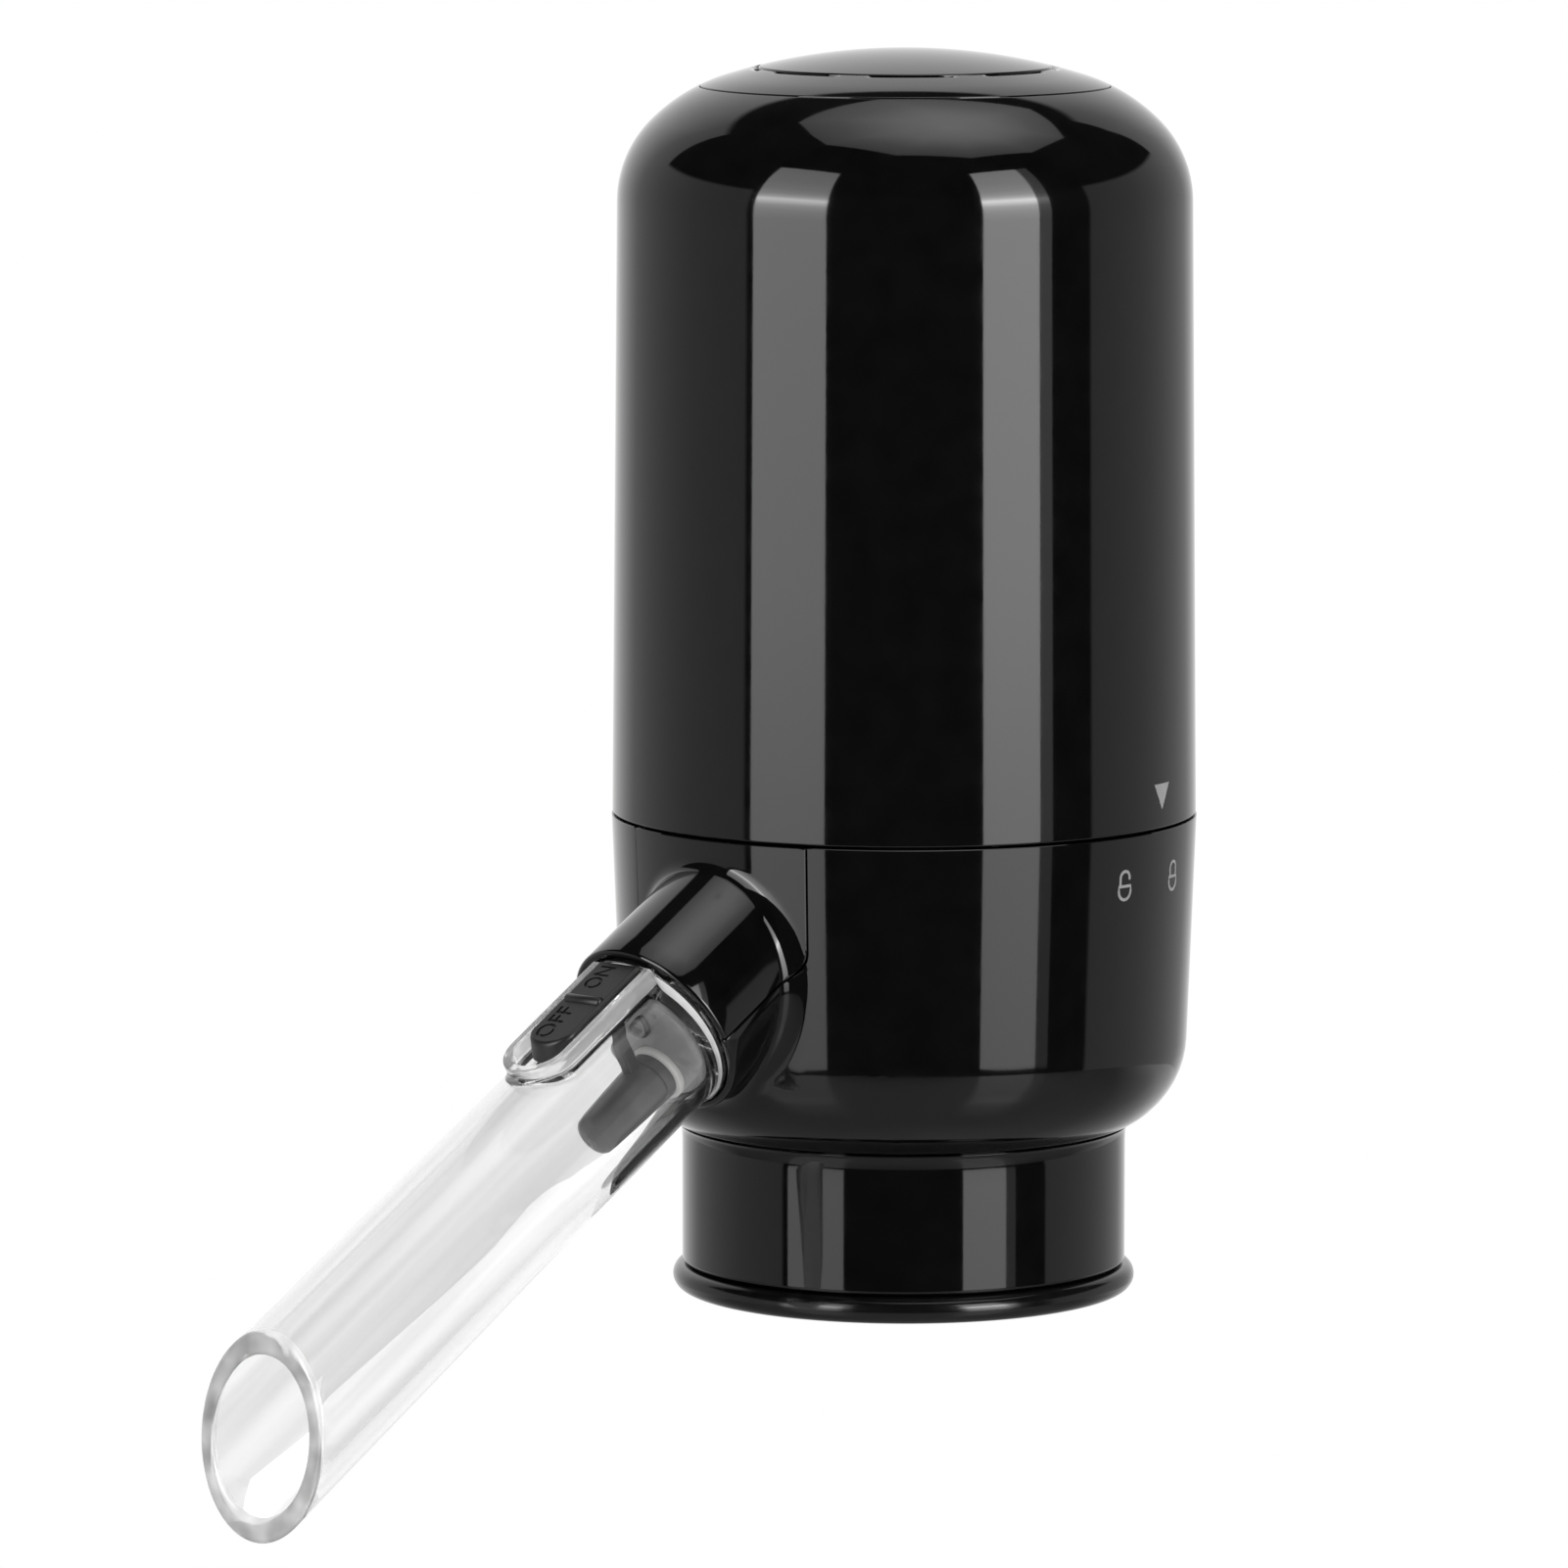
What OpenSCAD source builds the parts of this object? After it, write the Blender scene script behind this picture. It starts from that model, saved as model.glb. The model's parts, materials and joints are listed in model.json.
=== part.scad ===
// Electric wine aerator dispenser: a battery air pump that twist-locks onto a pouring head.
// Millimetres, +Z up. The bottle's neck enters from below and the spout points along -Y.
// The origin is at the mouth of the bottle bore, on the body's axis.

/* [Body shells] */
// Radius of the lower shell at the twist seam
body_r = 36; // [35:0.5:38]
// How much the lower shell narrows from the seam to where it turns under
lower_taper = 1.1; // [0.5:0.1:2]
// Height of the twist seam above the mouth of the bottle bore
seam_z = 59.1; // [58:0.1:62]
// Gap between the two shells at the twist seam
seam_gap = 0.3; // [0.2:0.05:0.5]
// How far the upper shell stands behind the lower shell's lip
seam_step = 0.1; // [0:0.05:0.3]
// Wall thickness of the shells
wall = 2; // [1.6:0.1:2.4]
// How much the upper shell narrows from the lower shell's lip to its shoulder
upper_taper = 0.8; // [0.4:0.1:1.4]
// Height where the shoulder starts
shoulder_z = 134.3; // [133:0.1:140]
// Radius of the shoulder's lower arc
shoulder_r = 14; // [12:0.5:15]
// Radius of the shoulder's upper arc
crown_r = 22; // [20:0.5:25]
// Slope of the dome where the upper arc ends, in degrees
dome_slope = 17; // [15:0.5:19]
// Radius of the rounding under the lower shell
foot_r = 12; // [11:0.5:13]
// Height of the centre of that rounding
foot_z = 31.75; // [31:0.25:33]
// Radius where that rounding meets the collar
foot_end_r = 27.9; // [27.5:0.1:28.5]

/* [Cap and button] */
// Radius of the parting line between the cap and the upper shell
cap_r = 25.05; // [24:0.05:26]
// Gap at that parting line
cap_gap = 0.12; // [0.1:0.01:0.3]
// Radius of the hole for the button
button_hole_r = 18.3; // [17:0.1:19]
// Gap around the button
button_gap = 0.4; // [0.3:0.05:0.6]
// Travel of the button
button_travel = 1.2; // [0.8:0.1:1.6]
// Radius of the button spring's coil, to the middle of its wire
button_spring_r = 5.4; // [5.2:0.1:6]
// Radius of the button spring's wire
button_spring_wire = 0.35; // [0.25:0.05:0.45]
// Turns of the button spring
button_spring_turns = 6; // [4:1:8]

/* [Collar and bottle] */
// Radius of the collar
collar_r = 27.35; // [27:0.05:28]
// Height of the collar's lower edge
collar_bottom = 3.45; // [3.3:0.05:4]
// Radius of the bottle bore, for a standard wine bottle's finish
bottle_r = 14.9; // [14:0.1:15.2]
// Radius of the bead around the bottle seal
bead_r = 1.63; // [1.4:0.01:1.65]
// Outer radius over that bead
bead_out_r = 28.5; // [28:0.1:29]
// Radius of the straw nipple
nipple_r = 3; // [2.5:0.1:3.2]
// Length of the straw nipple
nipple_len = 11.3; // [9:0.1:12]

/* [Spout] */
// Slope of the spout below the horizontal, in degrees
spout_decline = 30.7; // [29:0.1:32]
// Depth of the spout's axis below the twist seam, at the body's surface
spout_drop = 18.3; // [18:0.1:20]
// Length of the spout's axis from the body's surface to the tip
spout_len = 87.1; // [70:0.1:100]
// Outer radius of the tube at its root
tube_root_r = 9.5; // [9.3:0.1:9.6]
// Outer radius of the tube at its tip
tube_tip_r = 10.1; // [9.6:0.1:10.6]
// Radius of the tube's bore
tube_bore_r = 7.8; // [7:0.1:8]
// Lean of the tip's cut past the vertical, in degrees
tip_lean = 4.85; // [0:0.05:10]
// Outer radius of the socket that holds the spout
socket_r = 11.9; // [11.9:0.1:12.2]
// Wall of that socket
socket_wall = 1; // [0.8:0.1:1.1]
// Height of the socket's centre above the tube's
socket_rise = 1; // [0.9:0.1:1.1]
// Distance of the socket's end from the body's surface, along the spout
socket_len = 9.5; // [8:0.1:11]
// Radius of the fillet between the socket and the body
socket_fillet = 4.5; // [3:0.5:5]
// Half of the spout panel's width around the body, in degrees
panel_half = 23.2; // [22.5:0.1:25]
// Gap around the spout panel
panel_gap = 0.2; // [0.1:0.05:0.3]

/* [Switch] */
// Width of the slider
slider_w = 6.7; // [6:0.1:7]
// Length of the slider
slider_len = 16.8; // [15:0.1:18]
// Height of the slider's top above the tube's top line, at the root
slider_rise = 2.1; // [1.8:0.1:2.4]
// Travel of the slider
slider_travel = 2.4; // [2:0.1:3]
// Wall of the raised rim around the slider
rim_wall = 1.3; // [1:0.1:1.5]
// How far the rim stays below the slider's top
rim_step = 0.4; // [0.2:0.1:0.6]

/* [Twist lock] */
// Angle from the unlocked mark to the pointer, in degrees
unlock_angle = 12.5; // [10:0.5:14]
// Angle from the pointer to the locked mark, in degrees
lock_angle = 5; // [3:0.5:6]
// Half of a bayonet hook's width, in degrees
hook_half = 10; // [8:1:11]
// Half of a bayonet lug's width, in degrees
lug_half = 6; // [5:0.5:7]

/* [Battery cells] */
// Radius of a cell
cell_r = 5.25; // [5:0.05:5.25]
// Length of a cell, with its nub
cell_len = 44.5; // [43:0.1:45]
// Distance of the circle that the cells stand on from the inside of the upper shell
cell_inset = 11.9; // [11.6:0.1:12.1]

/* [Pump] */
// Radius of the motor and the pump
pump_r = 12.2; // [11.6:0.1:12.2]
// Length of the motor's can
motor_len = 28; // [26:0.5:30]
// Radius of the motor's shaft
shaft_r = 1; // [0.9:0.05:1.2]
// Running clearance around that shaft
shaft_clear = 0.05; // [0.02:0.01:0.1]
// Offset of the eccentric
eccentric_offset = 1.2; // [0.8:0.1:1.5]

/* [Hidden] */
$fn = 96;

// Colours
gloss_black = [0.05, 0.05, 0.055];
inner_black = [0.13, 0.13, 0.14];
soft_black = [0.1, 0.1, 0.1];
clear_acrylic = [0.88, 0.93, 0.95, 0.4];
steel = [0.72, 0.73, 0.75];
brass = [0.8, 0.66, 0.36];
white_nylon = [0.9, 0.89, 0.85];
silicone_white = [0.92, 0.92, 0.9];

// Clearances: slip and seat between fixed neighbours, part between bodies that move past each other
slip = 0.1;
seat_clear = 0.2;
part_clear = 0.3;
eps = 0.01;
arc_steps = 12;

// Points on an arc, from angle a0 to angle a1
function arc(centre, r, a0, a1) =
    [for (i = [0:arc_steps]) let (a = (a0 * (arc_steps - i) + a1 * i) / arc_steps)
        centre + r * [cos(a), sin(a)]];

// Angle on a circle where a line from point p touches it; side is 1 for a line that rises to it
function tangent_angle(p, centre, r, side) =
    let (d = p - centre) atan2(d[1], d[0]) + side * acos(r / norm(d));

// Upper shell: a straight side, two arcs and a dome, each tangent to the next
upper_bottom = seam_z + seam_gap;
upper_bottom_r = body_r - seam_step;
shoulder_side_r = body_r - upper_taper;
shoulder_c = [shoulder_side_r - shoulder_r, shoulder_z];
shoulder_start = tangent_angle([upper_bottom_r, upper_bottom], shoulder_c, shoulder_r, 1);
arc_join = 45;
crown_c = shoulder_c + (shoulder_r - crown_r) * [cos(arc_join), sin(arc_join)];
dome_angle = 90 - dome_slope;
crown_end = crown_c + crown_r * [cos(dome_angle), sin(dome_angle)];
dome_r = crown_end[0] / cos(dome_angle);
dome_z = crown_end[1] - dome_r * sin(dome_angle);
function dome_top(r, depth = 0) = dome_z + sqrt(pow(dome_r - depth, 2) - r * r);
function crown_top(r) = crown_c[1] + sqrt(pow(crown_r, 2) - pow(r - crown_c[0], 2));
function skin_top(r) = r > crown_end[0] ? crown_top(r) : dome_top(r);
function skin(r0, r1) = [for (i = [0:arc_steps]) let (r = r0 + (r1 - r0) * i / arc_steps) [r, skin_top(r)]];
crown_start_r = crown_c[0] + crown_r * cos(arc_join);
cap_line_z = skin_top(cap_r);
cap_rim_h = 1.8;
cap_seat_z = cap_line_z - cap_rim_h;
cap_guide_t = 1.5;
cap_guide_h = 4.7;
cap_guide_bottom = cap_seat_z - cap_guide_h;
cap_ledge_w = 4.55;
cap_ledge_r = cap_r - cap_ledge_w;
cap_ledge_t = 2;
upper_mouth_r = upper_bottom_r - wall;

// Lower shell: a straight side and the rounding that turns under
lower_r = body_r - lower_taper;
foot_c = [lower_r - foot_r, foot_z];
foot_start = tangent_angle([body_r, seam_z], foot_c, foot_r, -1);
foot_end = -acos((foot_end_r - foot_c[0]) / foot_r);
foot_edge_z = foot_z + foot_r * sin(foot_end);
floor_t = 2.4;
floor_top = foot_edge_z + floor_t;
collar_lip = 0.55;
neck_hole_r = collar_r - collar_lip;
lower_mouth_r = body_r - wall;
foot_inner_end = -asin((foot_z - floor_top) / (foot_r - wall));

// Spout: local z runs out along the tube, local y points up from it
spout_z = seam_z - spout_drop;
socket_bore_r = socket_r - socket_wall;
sleeve_depth = 9.5;
plug_r = socket_bore_r - seat_clear;
plug_proud = 0.4;
plug_front = socket_len + plug_proud;
plug_depth = 7.4;
plug_back = -plug_depth;
tip_angle = spout_decline + tip_lean;
tube_slope = (tube_tip_r - tube_root_r) / (spout_len - plug_front);
seat_step = 0.4;
tail_bore_r = tube_bore_r + seat_step;
groove_s = 0.5;
groove_w = 1.1;
spout_oring_r = 0.48;
groove_depth = 0.8;
groove_r = plug_r - groove_depth;
spout_gasket_t = 0.9;
outlet_s = plug_back - spout_gasket_t;
function spout_y(s) = -body_r - s * cos(spout_decline);
function spout_height(s) = spout_z - s * sin(spout_decline);

// Switch on the spout
pocket_clear = 0.25;
pocket_half = slider_w / 2 + pocket_clear;
pocket_start = plug_front + slip;
slider_start = pocket_start + seat_clear;
slider_end = slider_start + slider_len;
pocket_end = slider_end + slider_travel + part_clear;
pocket_depth = 0.4;
pocket_floor = tube_root_r - pocket_depth;
slider_bottom = pocket_floor + seat_clear;
slider_top = tube_root_r + slider_rise;
rim_top = slider_top - rim_step;
stem_offset = 4;
stem_s = slider_start + stem_offset;
stem_len = 2.4;
stem_w = 2;
valve_offset = 2;
valve_s = slider_start + valve_offset;
valve_len = 14.4;
valve_r = 6.3;
valve_edge_r = 1;
seat_s = valve_s + valve_len + slider_travel + part_clear;
seat_len = 3;
seat_hole_r = 4.2;
ridge_r = 0.7;
ridge_sunk = 0.3;
ridge_inset = 0.4;
ridge_offset = 7.05;

// Collar, seal and manifold, stacked up from the bottle
collar_wall = 2.75;
collar_inner_r = collar_r - collar_wall;
collar_shoulder_z = foot_edge_z - seat_clear;
collar_flare_h = 1.1;
collar_flare_out = 0.14;
collar_flare_edge = 0.4;
collar_top = floor_top + seat_clear;
collar_plate_t = 5;
collar_hole_clear = 0.5;
collar_hole_r = bottle_r + collar_hole_clear;
seal_top = collar_top - collar_plate_t - seat_clear;
seal_out_r = collar_inner_r - slip;
seal_flange_top = collar_bottom - seat_clear;
bottle_gasket_t = 2;
flange_t = 3;
flange_r = foot_c[0] + (foot_r - wall) * cos(foot_inner_end) - part_clear;
flange_top = collar_top + flange_t;
nipple_y = -5;
nipple_rise = 0.4;
nipple_bottom = seal_top + nipple_rise;
bell_top = nipple_bottom + nipple_len;
bell_r = 9.2;
bell_wall = 2.2;
bell_gasket_clear = 0.6;
tower_r = 9;
tower_y = -1.5;
wine_duct_r = 1.9;
air_duct_r = 1.4;
air_duct_y = 2.2;
air_stub_wall = 0.5;
air_stub_len = 3.2;
duck_wall = 0.8;
duck_sleeve_len = 4;
duck_bill_len = 3;
duck_bill_r = 0.9;
duck_inside_r = 0.4;
duck_slit = 0.2;
spigot_cup_drop = 12.1;
spigot_cup_h = 6;
spigot_cup_wall = 2.5;
spigot_cup_floor_t = 1;
cup_floor = seam_z - spigot_cup_drop;
cup_top = cup_floor + spigot_cup_h;
spigot_r = 3.4;
cup_bore_r = spigot_r + part_clear;
spigot_end_gap = 1.5;
spigot_bottom = cup_floor + spigot_end_gap;
spigot_ring_z = (spigot_bottom + cup_top) / 2;
spigot_ring_r = 0.4;
spigot_groove_depth = 0.6;
spigot_groove_r = spigot_r - spigot_groove_depth;
chamber_r = 9;
chamber_bore_r = 6.8;
chamber_len = 8.7;
chamber_floor_t = 2.5;
chamber_back = outlet_s - chamber_len;
arm_back = 5;
arm_drop = 6;
arm_short = 4.4;
arm_s = outlet_s - arm_back;
arm_z = spout_height(arm_s) - arm_drop;
arm_end_y = spout_y(arm_s) + arm_short;
arm_r = 4.5;
duct_past = 2;
manifold_screw_circle = 21;

// Twist lock
hook_inset = 1.5;
hook_out_r = lower_mouth_r - hook_inset;
hook_t = 1.8;
lug_reach = 0.9;
lug_out_r = hook_out_r + lug_reach;
lug_drop = 6.5;
lug_bottom = seam_z - lug_drop;
lug_t = 2;
lug_clear = 0.35;
ledge_in_r = hook_out_r + lug_clear;
ledge_bottom = lug_bottom + lug_t + lug_clear;
ledge_t = 1.65;
ledge_top = ledge_bottom + ledge_t;
stop_gap = 0.6;
stop_w = 1.4;
hook_angles = [45, 135, 225, 315];

// Power unit, stacked up from the base plate
plate_rise = 0.9;
plate_bottom = seam_z + plate_rise;
plate_t = 3.2;
plate_top = plate_bottom + plate_t;
plate_r = upper_mouth_r - part_clear;
door_t = 1.5;
contact_t = 0.3;
contact_spring_h = 3.2;
cell_bottom = plate_bottom + door_t + contact_t + contact_spring_h;
cell_top = cell_bottom + cell_len;
cell_clear = 0.25;
cell_hole_r = cell_r + cell_clear;
cell_circle_r = upper_mouth_r - cell_inset;
cell_half_angle = 45;
cell_angles = [for (i = [0:3]) cell_half_angle * (2 * i + 1)];
cell_nub_h = 0.8;
cell_nub_r = 1.9;
contact_half_w = 3;
contact_half_angle = 52;
contact_cone_r = 2.9;
contact_cone_tip_r = 2;
contact_disc_inset = 0.8;
strip_half_w = 2;
strip_half_angle = 50;
rivet_r = 0.9;
tube_wall = 1.2;
door_in_r = 11;
door_margin = 0.5;
door_out_r = cell_circle_r + cell_hole_r + door_margin;
door_clear = 0.25;
door_screw_x = 19;
foot_plate_t = 1.5;
foot_plate_margin = 0.4;
foot_plate_r = cell_circle_r + cell_hole_r + tube_wall + foot_plate_margin;
deck_bottom = cell_top + contact_t;
deck_t = 2;
deck_top = deck_bottom + deck_t;
chassis_inset = 3.5;
chassis_circle = upper_mouth_r - chassis_inset;
chassis_angles = [0, 90, 180, 270];
boss_r = 2.8;
door_boss_r = 2.4;
door_boss_h = 4.8;
door_boss_cover = 1;
boss_bottom = plate_top + foot_plate_t;
boss_len = 16;
holder_bore_r = pump_r + part_clear;
holder_wall = 1.3;
holder_tube_r = holder_bore_r + holder_wall;

// Pump and motor
pump_rise = 6.8;
pump_bottom = plate_top + pump_rise;
cushion_t = 1.2;
rib_in_r = 9;
rib_out_r = 11;
valve_cap_h = 6;
valve_cap_wall = 3;
diaphragm_bottom = pump_bottom + valve_cap_h;
diaphragm_t = 2;
cup_h = 2;
cup_r = 2.8;
cup_circle = 6;
cup_angles = [0, 120, 240];
housing_bottom = diaphragm_bottom + diaphragm_t;
housing_h = 13;
housing_wall = 1.6;
rocker_bottom = housing_bottom + cup_h;
rocker_t = 1.5;
rocker_stem_h = 1.5;
rocker_arm_w = 3.4;
rocker_clear = 0.4;
eccentric_bottom = rocker_bottom + rocker_t + rocker_stem_h + rocker_clear;
eccentric_h = 4.6;
eccentric_floor_t = 1;
eccentric_r = 3.6;
motor_bottom = housing_bottom + housing_h;
motor_top = motor_bottom + motor_len;
can_wall = 1;
bushing_r = 2.5;
bushing_len = 3;
bushing_proud = 0.2;
bushing_press = 0.02;
bushing_room = 0.5;
end_cap_t = 3;
end_cap_skirt_h = 2;
end_cap_skirt_t = 1;
end_bearing_depth = 2.25;
motor_end = motor_top + end_cap_t;
motor_inner_r = pump_r - can_wall - slip;
magnet_t = 1.5;
magnet_gap = 0.4;
magnet_end = 4;
magnet_half_angle = 62;
core_r = motor_inner_r - magnet_t - magnet_gap;
core_end = 5;
commutator_r = 3;
commutator_len = 3;
hose_r = 3.5;
barb_r = 2.2;
barb_bore_r = 1.1;
barb_len = 3;
hose_clear = 0.05;

// Button and control board, hung from the dome
button_r = button_hole_r - button_gap;
button_t = 1.8;
button_skirt_t = 1.4;
button_hook_t = 1.5;
button_hook_half = 9;
button_hook_inset = 0.4;
button_hook_r = button_hole_r + cap_guide_t - button_hook_inset;
button_skirt_bottom = cap_guide_bottom - button_hook_t - part_clear;
button_hook_window = 0.8;
button_skirt_edge = button_skirt_bottom + button_hook_t + button_hook_window;
button_pad_r = button_spring_r + 1.1;
button_stem_r = button_spring_r - 2.4;
button_stem_len = 9.7;
spring_seat_depth = 4;
spring_seat = dome_top(0) - spring_seat_depth;
board_t = 1.6;
board_r = 19;
switch_body = 6;
switch_body_h = 3.5;
switch_plunger_h = 1.9;
switch_plunger_r = 1.75;
stem_end = spring_seat - button_stem_len;
board_top = stem_end - button_travel - slip - switch_plunger_h - switch_body_h;
board_bottom = board_top - board_t;
bracket_bottom = motor_end + part_clear;
bracket_t = 2;
bracket_hole_r = 9.5;
wire_r = 0.6;
wire_clear = 0.9;
wire_circle = bracket_hole_r - wire_r - wire_clear;
wire_angles = [45, 315];
lead_circle = 17;
lead_bend_drop = 3;
lead_bend_z = board_bottom - lead_bend_drop;
post_circle = 16;
post_r = 2.4;
post_angles = [90, 210, 330];

// Screws
screw_r = 1.25;
screw_clear = 0.05;
screw_pass = 0.2;
head_r = 2.2;
head_h = 1.6;
recess_w = 0.6;
recess_len = 2.6;
recess_depth = 0.7;
screw_end_gap = 2;

echo(button_spring_gap = (spring_seat - board_top) / button_spring_turns - 2 * button_spring_wire);

// A pan-head screw, point down, with the underside of its head at the origin
module screw(len) {
    difference() {
        union() {
            cylinder(h = head_h, r = head_r);
            translate([0, 0, -len]) cylinder(h = len + eps, r = screw_r);
        }
        for (a = [0, 90]) rotate([0, 0, a])
            translate([-recess_len / 2, -recess_w / 2, head_h - recess_depth])
                cube([recess_len, recess_w, recess_depth + eps]);
    }
}

// Hole for a screw's thread, downwards from the origin
module pilot(len) {
    translate([0, 0, -len]) cylinder(h = len + eps, r = screw_r + screw_clear);
}

// Copies of the children on a circle
module around(angles, r) {
    for (a = angles) rotate([0, 0, a]) translate([r, 0, 0]) children();
}

// A ring about the axis
module ring(r_in, r_out, bottom, top) {
    rotate_extrude() translate([r_in, bottom]) square([r_out - r_in, top - bottom]);
}

// A part of such a ring, centred on an angle
module ring_part(r_in, r_out, bottom, top, middle, half) {
    rotate([0, 0, middle - half])
        rotate_extrude(angle = 2 * half) translate([r_in, bottom]) square([r_out - r_in, top - bottom]);
}

// An O-ring about the axis
module o_ring(r, section_r) {
    rotate_extrude() translate([r, 0]) circle(r = section_r, $fn = 32);
}

// Places the children on the spout's axis, at the body's surface
module on_spout() {
    translate([0, -body_r, spout_z]) rotate([90 + spout_decline, 0, 0]) children();
}

// A slot shape along the spout: a straight run with a round end towards the tip
module slot(half, start, end) {
    translate([-half, start]) square([2 * half, end - half - start]);
    translate([0, end - half]) circle(r = half);
}

// Extrudes a slot shape upwards from the tube, from height bottom to height top
module slot_solid(half, start, end, bottom, top) {
    translate([0, top, 0]) rotate([90, 0, 0]) linear_extrude(top - bottom) slot(half, start, end);
}

// Upper shell and cap

module upper_shell() color(gloss_black) difference() {
    union() {
        rotate_extrude() polygon(concat(
            [[upper_mouth_r, upper_bottom], [upper_bottom_r, upper_bottom]],
            arc(shoulder_c, shoulder_r, shoulder_start, arc_join),
            skin(crown_start_r, cap_r),
            [[cap_r, cap_seat_z], [cap_ledge_r, cap_seat_z], [cap_ledge_r, cap_seat_z - cap_ledge_t]],
            arc(crown_c, crown_r - wall, asin((cap_seat_z - cap_ledge_t - crown_c[1]) / (crown_r - wall)),
                arc_join),
            arc(shoulder_c, shoulder_r - wall, arc_join, shoulder_start)));
        around(chassis_angles, chassis_circle) translate([0, 0, boss_bottom]) {
            cylinder(h = boss_len, r = boss_r);
            translate([0, -boss_r / 2, 0])
                cube([upper_mouth_r + wall / 4 - chassis_circle, boss_r, boss_len]);
        }
    }
    around(chassis_angles, chassis_circle) translate([0, 0, boss_bottom + boss_len - wall])
        pilot(boss_len - wall + eps);
}

module top_cap() color(gloss_black) {
    rim_r = cap_r - cap_gap;
    rotate_extrude() polygon(concat(
        [[rim_r, cap_seat_z]],
        skin(rim_r, button_hole_r),
        [[button_hole_r, cap_guide_bottom], [button_hole_r + cap_guide_t, cap_guide_bottom],
            [button_hole_r + cap_guide_t, cap_seat_z]]));
}

module power_button() color(gloss_black) {
    dome_end = acos(button_r / dome_r);
    skirt_in_r = button_r - button_skirt_t;
    leg_in_r = skirt_in_r + slip;
    leg_out_r = button_r - slip;
    hook_top = button_skirt_bottom + button_hook_t;
    rotate_extrude() polygon(concat(
        [[button_r, button_skirt_edge]],
        arc([0, dome_z], dome_r, dome_end, 90),
        arc([0, dome_z], dome_r - button_t, 90, acos(skirt_in_r / (dome_r - button_t))),
        [[skirt_in_r, button_skirt_edge]]));
    for (a = post_angles) rotate([0, 0, a - button_hook_half]) rotate_extrude(angle = 2 * button_hook_half)
        polygon([[leg_in_r, button_skirt_bottom], [button_hook_r, button_skirt_bottom],
            [button_hook_r, hook_top], [leg_out_r, hook_top], [leg_out_r, cap_seat_z],
            [leg_in_r, cap_seat_z]]);
    translate([0, 0, spring_seat])
        cylinder(h = dome_top(button_pad_r, button_t / 2) - spring_seat, r = button_pad_r);
    translate([0, 0, stem_end]) cylinder(h = button_stem_len + eps, r = button_stem_r);
}

// A coil from the board to the button's spring seat, swept as one tube
module button_spring() color(steel) {
    sides = 6;
    rings_per_turn = 10;
    rings = button_spring_turns * rings_per_turn;
    low = board_top + button_spring_wire;
    rise = spring_seat - board_top - 2 * button_spring_wire;
    points = [for (i = [0:rings], k = [0:sides - 1])
        let (turn = 360 * i / rings_per_turn, a = 360 * k / sides,
            r = button_spring_r + button_spring_wire * cos(a))
        [r * cos(turn), r * sin(turn), low + rise * i / rings + button_spring_wire * sin(a)]];
    walls = [for (i = [0:rings - 1], k = [0:sides - 1])
        let (n = (k + 1) % sides, p = i * sides)
        each [[p + k, p + sides + k, p + n], [p + n, p + sides + k, p + sides + n]]];
    low_end = [for (k = [1:sides - 2]) [0, k, k + 1]];
    last = rings * sides;
    high_end = [for (k = [1:sides - 2]) [last, last + k + 1, last + k]];
    polyhedron(points, concat(walls, low_end, high_end));
}

// Control board under the button

module board_bracket() color(inner_black) difference() {
    union() {
        translate([0, 0, bracket_bottom]) cylinder(h = bracket_t, r = board_r);
        around(post_angles, post_circle) translate([0, 0, bracket_bottom])
            cylinder(h = board_bottom - bracket_bottom, r = post_r);
    }
    translate([0, 0, bracket_bottom - eps]) cylinder(h = bracket_t + 2 * eps, r = bracket_hole_r);
    around(wire_angles, cell_circle_r) translate([0, 0, bracket_bottom - eps])
        cylinder(h = bracket_t + 2 * eps, r = wire_r + wire_clear);
    around(post_angles, post_circle) translate([0, 0, board_bottom + eps])
        pilot(board_bottom - bracket_bottom + 2 * eps);
}

module control_board() color([0.1, 0.35, 0.2]) difference() {
    translate([0, 0, board_bottom]) cylinder(h = board_t, r = board_r);
    around(post_angles, post_circle) translate([0, 0, board_top + eps]) pilot(board_t + 2 * eps);
    for (r = [wire_circle, lead_circle]) around(wire_angles, r) translate([0, 0, board_bottom - eps])
        cylinder(h = board_t + 2 * eps, r = wire_r + slip);
}

module tact_switch() color(inner_black) {
    translate([-switch_body / 2, -switch_body / 2, board_top])
        cube([switch_body, switch_body, switch_body_h]);
    translate([0, 0, board_top + switch_body_h - eps])
        cylinder(h = switch_plunger_h + eps, r = switch_plunger_r);
}

module board_screws() color(steel) around(post_angles, post_circle) translate([0, 0, board_top])
    screw(board_top - deck_top - screw_end_gap);

// Leads from the motor's terminals, and from the rivets of the two free contacts, to the board
module lead_wires() color([0.7, 0.1, 0.1]) {
    rivet_top = deck_top + contact_t;
    around(wire_angles, wire_circle) translate([0, 0, motor_end])
        cylinder(h = board_top - motor_end, r = wire_r);
    around(wire_angles, cell_circle_r) {
        translate([0, 0, rivet_top]) cylinder(h = lead_bend_z + wire_r - rivet_top, r = wire_r);
        translate([0, 0, lead_bend_z]) rotate([0, -90, 0])
            cylinder(h = cell_circle_r - lead_circle, r = wire_r - slip);
        translate([lead_circle - cell_circle_r, 0, lead_bend_z - wire_r])
            cylinder(h = board_top - lead_bend_z + wire_r, r = wire_r);
    }
}

// Base plate with bayonet hooks and the air spigot

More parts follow.
